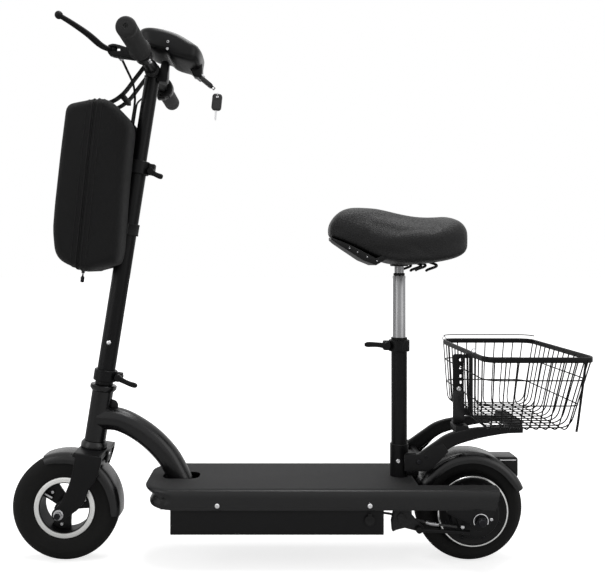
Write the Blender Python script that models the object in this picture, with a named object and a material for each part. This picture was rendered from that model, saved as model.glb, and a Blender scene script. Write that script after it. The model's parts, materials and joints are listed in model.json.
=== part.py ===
"""Electric scooter with a seat, a rear basket and a bag on its stem.

Metres. +X is forwards, +Y is the rider's left, +Z is up. The origin is on the
ground, midway between the foremost and the rearmost point.
"""
from math import acos, atan2, cos, degrees, pi, radians, sin

import bmesh
import bpy
from mathutils import Matrix, Vector

# Gap kept between two pieces that touch or turn in each other
fit = 0.0003

# Wheels
tyre_diameter = 0.2032
tyre_width = 0.052
tyre_wall = 0.0045
wheel_sides = 24
wheelbase = 0.7685
rear_axle_x = -0.3465
front_bead_diameter = 0.1010
rear_bead_diameter = 0.1250
rear_flange_height = 0.0045
rim_flange_height = 0.0090
rim_flange_wall = 0.0024
rim_barrel_wall = 0.0025
spoke_width = 0.0200
spoke_thickness = 0.0100
hub_barrel_radius = 0.0165
hub_half_length = 0.0330
rim_bolt_circle_radius = 0.0367
rim_bolt_angle = 44
rim_bolt_count = 3
front_axle_radius = 0.0060
bearing_radius = 0.0130
bearing_width = 0.0080
rear_axle_radius = 0.0070
motor_half_width = 0.0420
motor_cover_wall = 0.0030
motor_rim_lip = 0.0022

# Steering axis, head tube and fork
steering_lean = radians(9)
fork_rake = 0.0333
head_tube_bottom = 0.1308
head_tube_length = 0.0972
head_tube_radius = 0.0200
head_tube_wall = 0.0030
headset_flange_radius = 0.0250
lower_cup_height = 0.0138
upper_cup_height = 0.0117
cup_spigot = 0.0090
steerer_radius = 0.0127
steerer_wall = 0.0025
crown_thickness = 0.0095
fork_leg_inside = 0.0560
fork_leg_thickness = 0.0060
fork_tip_radius = 0.0130

# Stem, clamps and handlebar
lower_stem_top = 0.6640
lower_stem_radius = 0.0170
lower_stem_wall = 0.0025
upper_stem_radius = 0.0140
upper_stem_wall = 0.0020
upper_stem_overlap = 0.1500
bar_height = 0.8471
bar_radius = 0.0110
bar_half_width = 0.2780
base_clamp_bottom = 0.2472
base_clamp_height = 0.0213
stem_clamp_height = 0.0253
clamp_wall = 0.0045
clamp_bolt_radius = 0.0030
stem_button_height = 0.3222
stem_button_radius = 0.0045
grip_radius = 0.0168
grip_length = 0.1300
grip_end_wall = 0.0030
throttle_width = 0.0300
throttle_radius = 0.0210
perch_half_width = 0.0120
perch_to_grip = 0.0190

# Display, lock and keys
display_half_width = 0.0620
lock_radius = 0.0075
key_thickness = 0.0080
key_ring_radius = 0.0062
key_ring_wire = 0.0007

# Front bag
bag_height = 0.3200
bag_depth = 0.1300
bag_width = 0.1700
bag_wall = 0.0040
bag_lean = radians(6)
bag_seam_forward = 0.0030
bag_channel_radius = 0.0235
strap_y = 0.0280
strap_width = 0.0180
strap_thickness = 0.0020

# Cords down the front of the stem: distances from its axis and below the bar
cord_forward = 0.0238
cord_side = 0.0090
cord_groove_forward = 0.0268
cord_groove_half = 0.0120
cord_end_drop = 0.1120
brake_cord_radius = 0.0022
throttle_cord_radius = 0.0018

# Deck and battery box
deck_top = 0.1580
deck_bottom = 0.1207
deck_half_width = 0.0975
deck_wall = 0.0030
cross_bar_height = 0.0187
deck_nose_x = 0.2640
deck_nose_radius = 0.0500
deck_rear_x = -0.2400
arm_rear_x = -0.3820
arm_inside = 0.0635
box_front_x = 0.2133
box_rear_x = -0.1740
box_half_width = 0.0850
box_bottom = 0.0730
box_wall = 0.0020
side_bolt_front_x = 0.1270
side_bolt_rear_x = -0.1470
side_bolt_z = 0.1300
side_bolt_radius = 0.0030
neck_depth = 0.0440
neck_width = 0.0420
neck_wall = 0.0030
cable_exit_height = 0.2105
dropout_inside = 0.0880
dropout_thickness = 0.0070
port_x = -0.1480
port_z = 0.1000
port_radius = 0.0060

# Seat
seat_x = -0.2160
sleeve_radius = 0.0175
sleeve_top = 0.2200
seat_tube_radius = 0.0150
seat_tube_wall = 0.0023
seat_tube_top = 0.4187
seat_clamp_height = 0.0220
seat_post_radius = 0.0122
seat_post_wall = 0.0020
seat_post_bottom = 0.3150
seat_post_top = 0.5416
seat_pin_radius = 0.0088
seat_pin_length = 0.0224
saddle_roof_rise = 0.0484
saddle_length = 0.2550
saddle_rear_width = 0.2000
saddle_nose_width = 0.0900
spring_wire_radius = 0.0016
spring_coil_radius = 0.0095
spring_drop = 0.0400
spring_turns = 2
spring_y = 0.0500
spring_xs = (-0.0225, -0.0515)

# Rack and basket
rack_y = 0.0520
rack_depth = 0.0250
rack_width = 0.0140
rack_rear_x = -0.4360
rack_plate_top = 0.2640
rack_bolts = ((-0.2420, 0.1990),)
bracket_y = 0.0300
bracket_wall = 0.0040
bracket_front_x = -0.3120
bracket_width = 0.0205
bracket_bolts = ((-0.3225, 0.3230),)
bracket_holes = (0.3412, 0.3530, 0.3690, 0.3835)
basket_front_x = -0.3330
basket_rear_x = -0.5260
basket_half_width = 0.1700
basket_top = 0.4050
basket_bottom = 0.2720
basket_taper = 0.0260
basket_front_taper = 0.0040
rim_band = 0.0100
basket_wire = 0.0024
basket_pitch = 0.0280

# Fenders
front_fender_radius = 0.1080
rear_fender_radius = 0.1115
fender_wall = 0.0022
front_fender_half_width = 0.0315
rear_fender_half_width = 0.0360
fender_skirt = 0.0180
tail_light_width = 0.0600

# Kickstand and rear brake
stand_y = 0.0600
stand_bracket_width = 0.0140
stand_rod_radius = 0.0038
stand_length = 0.0920
brake_drum_radius = 0.0450
brake_width = 0.0170

# Worked out from the sizes above
wheel_radius = tyre_diameter / 2
front_axle_x = rear_axle_x + wheelbase
crown_bottom = head_tube_bottom - lower_cup_height - crown_thickness
crown_top = crown_bottom + crown_thickness
head_tube_top = head_tube_bottom + head_tube_length
lower_stem_bottom = head_tube_top + upper_cup_height + fit
stem_clamp_bottom = lower_stem_top - stem_clamp_height * 0.62
middle_x = (front_axle_x + wheel_radius + basket_rear_x) / 2
flange_radius = front_bead_diameter / 2 + rim_flange_height
rear_flange_radius = rear_bead_diameter / 2 + rear_flange_height
bead_seat = tyre_width / 2 * 0.70
grip_start = bar_half_width - grip_length + grip_end_wall
throttle_inner = grip_start - throttle_width - fit
brake_lever_y = grip_start - perch_to_grip - perch_half_width
seat_pin_top = seat_post_top + seat_pin_length
saddle_roof = seat_post_top + saddle_roof_rise


def clear_scene():
    """Removes whatever the file already holds."""
    for old in list(bpy.data.objects):
        bpy.data.objects.remove(old)


clear_scene()


def make_material(name, colour, roughness, metallic):
    """A plain Principled material."""
    material = bpy.data.materials.new(name)
    material.use_nodes = True
    shader = material.node_tree.nodes["Principled BSDF"]
    shader.inputs["Base Color"].default_value = (*colour, 1)
    shader.inputs["Roughness"].default_value = roughness
    shader.inputs["Metallic"].default_value = metallic
    material.diffuse_color = (*colour, 1)
    return material


black_paint = make_material("black_paint", (0.012, 0.012, 0.012), 0.35, 0.0)
deck_paint = make_material("deck_paint", (0.045, 0.045, 0.045), 0.45, 0.0)
black_plastic = make_material("black_plastic", (0.015, 0.015, 0.015), 0.45, 0.0)
rubber = make_material("rubber", (0.018, 0.018, 0.018), 0.75, 0.0)
grip_rubber = make_material("grip_rubber", (0.04, 0.04, 0.04), 0.7, 0.0)
vinyl = make_material("vinyl", (0.03, 0.03, 0.03), 0.5, 0.0)
fabric = make_material("fabric", (0.013, 0.013, 0.013), 0.9, 0.0)
silver = make_material("silver", (0.75, 0.75, 0.73), 0.3, 1.0)
steel = make_material("steel", (0.55, 0.55, 0.56), 0.35, 1.0)
clear_plastic = make_material("clear_plastic", (0.02, 0.02, 0.025), 0.1, 0.0)


def add_empty(name, parent=None, place=(0, 0, 0), turn=(0, 0, 0)):
    """A frame of reference that pieces hang on."""
    empty = bpy.data.objects.new(name, None)
    bpy.context.collection.objects.link(empty)
    empty.parent = parent
    empty.location = place
    empty.rotation_euler = turn
    return empty


def finish(name, shape, material, parent, place=(0, 0, 0), turn=(0, 0, 0), sharp=40):
    """Turns a bmesh into a named object that is shaded smooth."""
    bmesh.ops.remove_doubles(shape, verts=shape.verts, dist=1e-6)
    bmesh.ops.recalc_face_normals(shape, faces=shape.faces)
    mesh = bpy.data.meshes.new(name)
    shape.to_mesh(mesh)
    shape.free()
    mesh.shade_smooth()
    mesh.set_sharp_from_angle(angle=radians(sharp))
    mesh.materials.append(material)
    piece = bpy.data.objects.new(name, mesh)
    bpy.context.collection.objects.link(piece)
    piece.parent = parent
    piece.location = place
    piece.rotation_euler = turn
    return piece


def hide(tool):
    """Marks an object as a tool for a Boolean, left out of the part."""
    tool.hide_render = True
    tool.display_type = "WIRE"


def combine(piece, tools, operation, solver):
    """Adds one Boolean per tool."""
    for tool in tools:
        modifier = piece.modifiers.new(operation.lower(), "BOOLEAN")
        modifier.operation = operation
        modifier.solver = solver
        modifier.object = tool
        hide(tool)
    return piece


def cut(piece, *tools, solver="EXACT"):
    return combine(piece, tools, "DIFFERENCE", solver)


def weld(piece, *tools, solver="EXACT"):
    return combine(piece, tools, "UNION", solver)


def use_manifold(piece):
    """Gives a piece's Booleans the other solver, where the exact one leaves cracks."""
    for modifier in piece.modifiers:
        modifier.solver = "MANIFOLD"


def spun(profile, sides=14):
    """A solid turned about Z from (radius, height) points.

    A profile that starts and ends on the axis is solid. Any other one is
    closed on itself and gives a ring.
    """
    shape = bmesh.new()
    rim = [shape.verts.new((radius, 0, height)) for radius, height in profile]
    pairs = list(zip(rim, rim[1:]))
    if profile[0][0] > 0:
        pairs.append((rim[-1], rim[0]))
    edges = [shape.edges.new(pair) for pair in pairs]
    bmesh.ops.spin(
        shape,
        geom=rim + edges,
        cent=(0, 0, 0),
        axis=(0, 0, 1),
        angle=2 * pi,
        steps=sides,
        use_merge=True,
    )
    return shape


def rod(radius, low, high, bevel=0.0, sides=8):
    """A solid cylinder along Z with bevelled ends."""
    return spun(
        [(0, low), (radius - bevel, low), (radius, low + bevel), (radius, high - bevel),
         (radius - bevel, high), (0, high)] if bevel else
        [(0, low), (radius, low), (radius, high), (0, high)],
        sides,
    )


def across(radius, sides):
    """The corner radius of a many-sided hole whose flats lie at a radius."""
    return radius / cos(pi / sides)


def round_hole(radius, low, high, sides=12):
    """A cutter along Z that leaves a round pin of that radius its fit."""
    return rod(across(radius + fit, sides), low, high, sides=sides)


def ring(outer, inner, low, high, bevel=0.0, sides=14):
    """A tube along Z, whose bore's flats lie at the inner radius."""
    inner = across(inner, sides)
    if not bevel:
        return spun([(inner, low), (outer, low), (outer, high), (inner, high)], sides)
    return spun(
        [(inner, low), (outer - bevel, low), (outer, low + bevel),
         (outer, high - bevel), (outer - bevel, high), (inner, high)],
        sides,
    )


def moved(shape, place=(0, 0, 0), turn=(0, 0, 0)):
    """The same bmesh, turned by Euler angles and moved."""
    matrix = Matrix.Translation(place)
    for angle, axis in zip(turn, "XYZ"):
        matrix = matrix @ Matrix.Rotation(angle, 4, axis)
    bmesh.ops.transform(shape, matrix=matrix, verts=shape.verts)
    return shape


# Turns Z onto +Y, as for an axle
along_y = (-pi / 2, 0, 0)


def slab(outline, axis, low, high, bevel=0.0):
    """A flat outline given thickness along an axis.

    The outline's two numbers are the other two axes, in X, Y, Z order.
    """
    order = "XYZ".index(axis)

    def point(pair, depth):
        values = list(pair)
        values.insert(order, depth)
        return values

    shape = bmesh.new()
    base = shape.faces.new([shape.verts.new(point(pair, low)) for pair in outline])
    pushed = bmesh.ops.extrude_face_region(shape, geom=[base])
    step = [0, 0, 0]
    step[order] = high - low
    fresh = [item for item in pushed["geom"] if isinstance(item, bmesh.types.BMVert)]
    bmesh.ops.translate(shape, verts=fresh, vec=step)
    bmesh.ops.recalc_face_normals(shape, faces=shape.faces)
    if bevel:
        long = [edge for edge in shape.edges
                if abs(edge.verts[0].co[order] - edge.verts[1].co[order]) < 1e-9]
        bmesh.ops.bevel(shape, geom=long, offset=bevel, segments=1, affect="EDGES")
    return shape


def block(low, high, bevel=0.0):
    """A box from its low corner to its high corner."""
    shape = slab(
        [(low[0], low[1]), (high[0], low[1]), (high[0], high[1]), (low[0], high[1])],
        "Z", low[2], high[2])
    if bevel:
        bmesh.ops.bevel(shape, geom=shape.edges[:], offset=bevel, segments=1, affect="EDGES")
    return shape


def arc(centre, radius, start, end, steps):
    """Points on a circle, angles in degrees."""
    return [
        (centre[0] + radius * cos(radians(start + (end - start) * step / steps)),
         centre[1] + radius * sin(radians(start + (end - start) * step / steps)))
        for step in range(steps + 1)
    ]


def rounded(width, depth, radius, steps=3):
    """A rectangle with round corners about the origin."""
    right, top = width / 2 - radius, depth / 2 - radius
    outline = []
    for centre, start in (((right, top), 0), ((-right, top), 90),
                          ((-right, -top), 180), ((right, -top), 270)):
        outline += arc(centre, radius, start, start + 90, steps)
    return outline


def circle(radius, sides):
    """Points round a circle, without the last one that closes it."""
    return arc((0, 0), radius, 0, 360, sides)[:-1]


def smooth_path(points, count):
    """Points read from a smooth curve through the given ones."""
    knots = [Vector(point) for point in points]
    ends = [2 * knots[0] - knots[1]] + knots + [2 * knots[-1] - knots[-2]]
    lengths = [(b - a).length for a, b in zip(knots, knots[1:])]
    total = sum(lengths)
    path = []
    for step in range(count + 1):
        travel = total * step / count
        index = 0
        while index < len(lengths) - 1 and travel > lengths[index]:
            travel -= lengths[index]
            index += 1
        t = min(travel / lengths[index], 1)
        before, start, end, after = ends[index:index + 4]
        path.append(
            0.5 * (2 * start + (end - before) * t
                   + (2 * before - 5 * start + 4 * end - after) * t * t
                   + (3 * start - before - 3 * end + after) * t ** 3)
        )
    return path


def frames_along(path, side):
    """A side and an up vector at each point, carried along without twist."""
    frames = []
    side = Vector(side)
    for index, point in enumerate(path):
        before = path[max(index - 1, 0)]
        after = path[min(index + 1, len(path) - 1)]
        along = (after - before).normalized()
        side = (side - along * side.dot(along)).normalized()
        frames.append((point, side, along.cross(side)))
    return frames


def swept(path, section, side=(0, 1, 0), scales=None, closed=False):
    """A solid along a path; the section's points are (side, up) offsets."""
    path = [Vector(point) for point in path]
    shape = bmesh.new()
    loops = []
    for index, (point, across, up) in enumerate(frames_along(path, side)):
        scale = scales[index] if scales else 1
        loops.append([shape.verts.new(point + (across * a + up * b) * scale) for a, b in section])
    for first, second in zip(loops, loops[1:]):
        for index in range(len(section)):
            other = (index + 1) % len(section)
            shape.faces.new((first[index], first[other], second[other], second[index]))
    shape.faces.new(loops[0])
    shape.faces.new(loops[-1])
    return shape


def stacked(loops):
    """A solid skinned over loops of equally many points, capped at both ends."""
    shape = bmesh.new()
    rows = [[shape.verts.new(point) for point in loop] for loop in loops]
    count = len(rows[0])
    for first, second in zip(rows, rows[1:]):
        for index in range(count):
            other = (index + 1) % count
            shape.faces.new((first[index], first[other], second[other], second[index]))
    shape.faces.new(rows[0])
    shape.faces.new(rows[-1])
    return shape


def helix(radius, height, turns, points_per_turn):
    """Points along a coil about Z, rising from zero."""
    steps = turns * points_per_turn
    return [
        Vector((radius * cos(2 * pi * step / points_per_turn),
                radius * sin(2 * pi * step / points_per_turn),
                height * step / steps))
        for step in range(steps + 1)
    ]


def hexagon(across_flats):
    """A nut's outline."""
    return circle(across_flats / 2 / cos(pi / 6), 6)


def bolt(head_radius, head_height, shank_radius, shank_length):
    """A round-headed bolt along Z; the head stands on z = 0, the shank goes down."""
    return spun(
        [(0, -shank_length), (shank_radius, -shank_length), (shank_radius, 0), (head_radius, 0),
         (head_radius * 0.8, head_height), (0, head_height)],
        6,
    )


scooter = add_empty("scooter", place=(-middle_x, 0, 0))
foot_x = front_axle_x - fork_rake * cos(steering_lean)
foot_z = wheel_radius - fork_rake * sin(steering_lean)
head_axis = add_empty("head_axis", scooter, (foot_x, 0, foot_z), (0, -steering_lean, 0))
steering = add_empty("steering_pivot", head_axis)
front_axle_centre = add_empty("front_axle_centre", steering, (fork_rake, 0, 0), (0, steering_lean, 0))
rear_axle_centre = add_empty("rear_axle_centre", scooter, (rear_axle_x, 0, wheel_radius))
stem_slide = add_empty("stem_slide", steering, (0, 0, bar_height), (0, steering_lean, 0))
seat_slide = add_empty("seat_slide", scooter, (seat_x, 0, seat_tube_top))


def on_steering_axis(height):
    """The scooter's coordinates of a point on the steering axis."""
    return Vector((foot_x - height * sin(steering_lean), 0, foot_z + height * cos(steering_lean)))


def tyre(name, parent, bead_diameter, flange_height):
    """A tyre whose beads sit inside the rim's flanges, open towards the rim."""
    bead = bead_diameter / 2 + fit
    half = tyre_width / 2
    seat = bead_seat
    rise = wheel_radius - bead
    outside = [(bead, seat), (bead + flange_height + fit, seat), (bead + rise * 0.48, half),
               (bead + rise * 0.80, half * 0.86), (wheel_radius, half * 0.30)]
    inside = [(bead, seat - tyre_wall), (bead + rise * 0.50, half - tyre_wall),
              (wheel_radius - tyre_wall, half * 0.30)]
    profile = (outside + [(r, -y) for r, y in reversed(outside)]
               + [(r, -y) for r, y in inside] + [(r, y) for r, y in reversed(inside)])
    return finish(name, spun(profile, wheel_sides), rubber, parent, turn=along_y)


def front_rim():
    """The split rim: two flanges, a barrel, three spokes and the hub barrel."""
    bead = front_bead_diameter / 2
    seat = bead_seat + fit
    inside = bead - rim_barrel_wall
    web = spoke_thickness / 2
    barrel = spun(
        [(inside, -seat - rim_flange_wall), (flange_radius, -seat - rim_flange_wall),
         (flange_radius, -seat), (bead, -seat), (bead, seat), (flange_radius, seat),
         (flange_radius, seat + rim_flange_wall), (inside, seat + rim_flange_wall),
         ],
        wheel_sides)
    rim = finish("front_rim", barrel, silver, front_axle_centre, turn=along_y)
    hub = finish("rim_hub", rod(hub_barrel_radius, -hub_half_length, hub_half_length, sides=14),
                 silver, front_axle_centre, turn=along_y)
    tools = [hub]
    for index in range(rim_bolt_count):
        angle = radians(rim_bolt_angle + index * 360 / rim_bolt_count)
        reach = inside + 0.0010
        spoke = slab([(0, -spoke_width / 2), (reach, -spoke_width / 2 - 0.003),
                      (reach, spoke_width / 2 + 0.003), (0, spoke_width / 2)],
                     "Z", -web + 0.0006, web + 0.0008)
        moved(spoke, turn=(0, 0, angle))
        tools.append(finish("rim_spoke", spoke, silver, front_axle_centre, turn=(pi / 2, 0, 0)))
    weld(rim, *tools)
    holes = rod(front_axle_radius + 0.002, -hub_half_length - 0.01, hub_half_length + 0.01, sides=14)
    cut(rim, finish("rim_bore", holes, silver, front_axle_centre, turn=along_y))
    for side in (1, -1):
        pocket = round_hole(bearing_radius, hub_half_length - bearing_width, hub_half_length + 0.01)
        cut(rim, finish("bearing_pocket", pocket, silver, front_axle_centre,
                        turn=(-side * pi / 2, 0, 0)))
    face = spoke_thickness / 2
    for index in range(rim_bolt_count):
        angle = rim_bolt_angle + index * 360 / rim_bolt_count
        x, z = arc((0, 0), rim_bolt_circle_radius, angle, angle, 1)[0]
        head = rod(0.0050, -face - 0.0040, face + 0.0035, 0, 6)
        weld(rim, finish("rim_bolt", head, silver, front_axle_centre, (x, 0, z), along_y))
    return rim


def front_axle_parts():
    """Axle with its bearings, spacers, washers and nuts."""
    leg = fork_leg_inside + fork_leg_thickness
    half = [(front_axle_radius, hub_half_length - bearing_width + fit),
            (bearing_radius, hub_half_length - bearing_width + fit),
            (bearing_radius, hub_half_length), (0.0085, hub_half_length),
            (0.0085, fork_leg_inside - fit), (front_axle_radius, fork_leg_inside - fit),
            (front_axle_radius, leg + 0.0125), (0, leg + 0.0125)]
    profile = [(r, -y) for r, y in reversed(half)] + half
    body = finish("front_axle", spun(profile, 8), steel, front_axle_centre, turn=along_y)
    for side in (1, -1):
        nut = slab(hexagon(0.0150), "Z", leg + fit, leg + 0.0085)
        weld(body, finish("axle_nut", nut, steel, front_axle_centre, turn=(-side * pi / 2, 0, 0)))
    return body


def fork():
    """Steerer tube, crown plate and two tapering plate legs."""
    leg_outside = fork_leg_inside + fork_leg_thickness
    tip = arc((fork_rake, 0), fork_tip_radius, -142, 12, 6)
    outline = ([(-0.0400, crown_top), (-0.0400, crown_bottom - 0.001), (-0.0155, 0.0580)] + tip
               + [(0.0270, 0.0420), (0.0205, 0.0750), (0.0205, crown_top)])
    crown = block((-0.0400, -leg_outside, crown_bottom), (0.0205, leg_outside, crown_top))
    body = finish("fork", crown, black_paint, steering)
    for side in (1, -1):
        low, high = sorted((side * fork_leg_inside, side * leg_outside))
        leg = finish("fork_leg", slab(outline, "Y", low, high), black_paint, steering)
        weld(body, leg)
    top = base_clamp_bottom + base_clamp_height
    steerer = rod(steerer_radius, crown_bottom + 0.002, top, sides=14)
    weld(body, finish("steerer", steerer, black_paint, steering))
    bore = rod(steerer_radius - steerer_wall, crown_bottom + 0.006, top + 0.01, sides=14)
    cut(body, finish("steerer_bore", bore, black_paint, steering))
    hole = round_hole(front_axle_radius, -0.1, 0.1)
    cut(body, finish("axle_hole", hole, black_paint, steering, (fork_rake, 0, 0), along_y))
    return body


def headset_cups():
    """The two bearing cups pressed into the head tube, as (outer, inner, low, high)."""
    turning = steerer_radius + fit
    low = head_tube_bottom + cup_spigot
    high = head_tube_top - cup_spigot
    return (ring(headset_flange_radius, turning, crown_top + fit, low, sides=12),
            ring(headset_flange_radius, turning, high, head_tube_top + upper_cup_height, sides=12))


def neck_frame():
    """Head tube with the curved box tube that runs down into the deck."""
    tube = ring(head_tube_radius, head_tube_radius - head_tube_wall, head_tube_bottom, head_tube_top)
    body = finish("neck_frame", tube, black_paint, head_axis)
    middle = head_tube_bottom + head_tube_length * 0.45
    start = on_steering_axis(middle)
    path = smooth_path(
        [start, (0.3180, 0, 0.2640), (0.2700, 0, 0.2370), (0.2320, 0, 0.2000),
         (0.2090, 0, 0.1620), (0.1990, 0, deck_bottom + 0.0100)], 6)
    section = rounded(neck_width, neck_depth, 0.012, 2)
    outer = finish("neck_tube", swept(path, section), black_paint, scooter)
    weld(body, outer)
    inner_section = rounded(neck_width - 2 * neck_wall, neck_depth - 2 * neck_wall, 0.009, 1)
    inner = finish("neck_hollow", swept(path[2:] + [path[-1] + Vector((-0.002, 0, -0.02))],
                                        inner_section), black_paint, scooter)
    cut(body, inner)
    foot = block((0.1, -0.1, 0), (0.3, 0.1, deck_bottom + cross_bar_height + fit))
    cut(body, finish("neck_foot", foot, black_paint, scooter))
    bore = rod(head_tube_radius - head_tube_wall, head_tube_bottom - 0.01, head_tube_top + 0.01, sides=14)
    cut(body, finish("head_bore", bore, black_paint, head_axis))
    for cup in headset_cups():
        weld(body, finish("headset_cup", cup, black_paint, head_axis))
    use_manifold(body)
    return body


def deck_outline(inset, side_inset):
    """The deck's plan outline: a round nose at the front, square at the rear."""
    front = deck_nose_x - inset
    half = deck_half_width - side_inset
    corner = deck_nose_radius
    left = arc((front - corner, half - corner), corner, 0, 90, 3)
    right = [(x, -y) for x, y in reversed(left)]
    return [(arm_rear_x, -half)] + right + left + [(arm_rear_x, half)]


def deck():
    """The formed deck: a tray open below, with a nose and two rear arms."""
    height = deck_top - deck_bottom
    levels = [(0.00, 0.0100, 0.0010), (0.36, 0.0095, 0.0),
              (0.56, 0.0040, 0.0), (0.76, 0.0, 0.0010),
              (0.93, 0.0025, 0.0050), (1.00, 0.0080, 0.0110)]
    loops = [[(x, y, deck_bottom + height * share) for x, y in deck_outline(front, side)]
             for share, front, side in levels]
    body = finish("deck", stacked(loops), deck_paint, scooter)
    pocket_loops = [[(x, y, z) for x, y in deck_outline(0.0130 + deck_wall, 0.0110 + deck_wall)]
                    for z in (deck_top - deck_wall, deck_top - deck_wall - 0.0001)]
    low = [[(x, y, z) for x, y in deck_outline(0.0120 + deck_wall, deck_wall + 0.0030)]
           for z in (deck_top - 0.0130, deck_bottom - 0.01)]
    pocket = finish("deck_pocket", stacked(pocket_loops[:1] + low), deck_paint, scooter)
    cut(body, pocket)
    slot = block((arm_rear_x - 0.01, -arm_inside, deck_bottom - 0.01),
                 (deck_rear_x, arm_inside, deck_top + 0.01))
    for side in (1, -1):
        low_y, high_y = sorted((side * (arm_inside - 0.001), side * (arm_inside + deck_wall)))
        wall = block((arm_rear_x, low_y, deck_bottom), (deck_rear_x + 0.01, high_y, deck_top - 0.001))
        weld(body, finish("arm_wall", wall, deck_paint, scooter))
    back_wall = block((deck_rear_x - 0.001, -arm_inside - 0.002, deck_bottom),
                      (deck_rear_x + deck_wall, arm_inside + 0.002, deck_top - 0.001))
    weld(body, finish("deck_back_wall", back_wall, deck_paint, scooter))
    for low_x, high_x, top in ((0.1800, 0.2300, deck_bottom + cross_bar_height),
                               (seat_x - 0.0220, seat_x + 0.0220, deck_bottom + 0.0140)):
        bar = block((low_x, -deck_half_width + 0.002, deck_bottom + 0.0010),
                    (high_x, deck_half_width - 0.002, top))
        weld(body, finish("deck_cross_bar", bar, deck_paint, scooter))
    cut(body, finish("wheel_slot", slot, deck_paint, scooter))
    neck_slot = slab([(x + 0.2085, y) for x, y in rounded(0.0860, neck_width + 0.0060, 0.012)],
                     "Z", deck_top - deck_wall - 0.004, deck_top + 0.01)
    cut(body, finish("neck_slot", neck_slot, deck_paint, scooter))
    seat_hole = round_hole(sleeve_radius, deck_bottom + 0.0140, deck_top + 0.01, 14)
    cut(body, finish("sleeve_hole", seat_hole, deck_paint, scooter, (seat_x, 0, 0)))
    slant = slab([(arm_rear_x - 0.01, deck_bottom - 0.01), (arm_rear_x + 0.012, deck_bottom - 0.01),
                  (arm_rear_x, deck_top - 0.004), (arm_rear_x - 0.01, deck_top)], "Y", -0.2, 0.2)
    cut(body, finish("arm_slant", slant, deck_paint, scooter))
    for x in (side_bolt_front_x, side_bolt_rear_x):
        hole = round_hole(side_bolt_radius, -0.2, 0.2, 8)
        cut(body, finish("side_bolt_hole", hole, deck_paint, scooter, (x, 0, side_bolt_z), along_y))
    for side in (1, -1):
        low_y, high_y = sorted((side * dropout_inside, side * (dropout_inside + dropout_thickness)))
        plate = slab(dropout_outline(), "Y", low_y, high_y)
        weld(body, finish("dropout", plate, deck_paint, scooter))
    axle_hole = round_hole(rear_axle_radius, -0.2, 0.2)
    cut(body, finish("rear_axle_hole", axle_hole, deck_paint, scooter,
                     (rear_axle_x, 0, wheel_radius), along_y))
    return body


def dropout_outline():
    """The plate that hangs below an arm and carries the rear axle."""
    tip = arc((rear_axle_x, wheel_radius), 0.0190, -165, -15, 6)
    return ([(rear_axle_x - 0.0300, deck_bottom + 0.006)] + tip
            + [(rear_axle_x + 0.0600, deck_bottom - 0.006), (rear_axle_x + 0.0600, deck_bottom + 0.006)])


def battery_box():
    """Sheet steel tray bolted below the deck, with tabs behind the deck's sides."""
    flange_top = deck_bottom - fit
    outer = block((box_rear_x, -box_half_width, box_bottom), (box_front_x, box_half_width, flange_top))
    body = finish("battery_box", outer, black_paint, scooter)
    tab_inside = deck_half_width - deck_wall - 0.0030 - fit - 0.0020
    for x in (side_bolt_front_x, side_bolt_rear_x):
        for side in (1, -1):
            low, high = sorted((side * (box_half_width - 0.001), side * (tab_inside + 0.0020)))
            foot = block((x - 0.012, low, flange_top - box_wall), (x + 0.012, high, flange_top))
            weld(body, finish("tab_foot", foot, black_paint, scooter))
            low, high = sorted((side * tab_inside, side * (tab_inside + 0.0020)))
            tab = block((x - 0.012, low, flange_top - box_wall), (x + 0.012, high, side_bolt_z + 0.009))
            weld(body, finish("tab", tab, black_paint, scooter))
    room = block((box_rear_x + box_wall, -box_half_width + box_wall, box_bottom + box_wall),
                 (box_front_x - box_wall, box_half_width - box_wall, flange_top + 0.01))
    cut(body, finish("box_room", room, black_paint, scooter))
    for x in (side_bolt_front_x, side_bolt_rear_x):
        for side in (1, -1):
            shape = bolt(0.0052, 0.0030, side_bolt_radius, 0.0130)
            weld(body, finish("deck_bolt", shape, black_paint, scooter,
                              (x, side * (deck_half_width + fit), side_bolt_z), (-side * pi / 2, 0, 0)))
    port = round_hole(port_radius, 0.07, 0.1)
    cut(body, finish("port_hole", port, black_paint, scooter, (port_x, 0, port_z), along_y))
    return body


def battery_contents():
    """Battery pack and motor controller, standing in the box."""
    floor = box_bottom + box_wall + fit
    half = box_half_width - box_wall - 0.006
    pack = block((box_rear_x + 0.0850, -half, floor), (box_front_x - box_wall - 0.006, half,
                                                       deck_bottom - 0.006), 0.004)
    finish("battery_pack", pack, black_plastic, scooter)
    low_x, high_x = box_rear_x + box_wall + 0.004, box_rear_x + 0.0780
    case = block((low_x, -half + 0.010, floor), (high_x, half - 0.022, floor + 0.026))
    body = finish("motor_controller", case, steel, scooter)
    for index in range(2):
        y = -half + 0.030 + index * 0.050
        fin = block((low_x, y, floor + 0.024), (high_x, y + 0.003, floor + 0.034))
        weld(body, finish("controller_fin", fin, steel, scooter))


def charge_port():
    """The charging socket in the box's left side, with its hinged rubber cap."""
    face = box_half_width + fit
    socket = spun([(0, -0.012), (port_radius, -0.012), (port_radius, fit), (0.0085, fit), (0.0085, 0.0020),
                   (0.0045, 0.0020), (0.0045, -0.006), (0, -0.006)], 12)
    finish("charge_port", moved(socket, (port_x, box_half_width, port_z), along_y),
           black_plastic, scooter)
    hinge = add_empty("cap_hinge", scooter, (port_x, face + 0.0030, port_z + 0.0115))
    cap = spun([(0, -0.0020), (0.0036, -0.0020), (0.0036, 0), (0.0095, 0), (0.0095, 0.0015),
                (0.0080, 0.0025), (0, 0.0025)], 12)
    piece = finish("charge_port_cap", moved(cap, (0, -0.0007, -0.0115), along_y), rubber, hinge)
    strap = block((-0.0035, -0.0007, -0.0050), (0.0035, 0.0010, 0.0015))
    weld(piece, finish("cap_strap", strap, rubber, hinge))


def neck_and_deck():
    neck_frame()
    deck()
    battery_box()
    battery_contents()
    charge_port()


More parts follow.
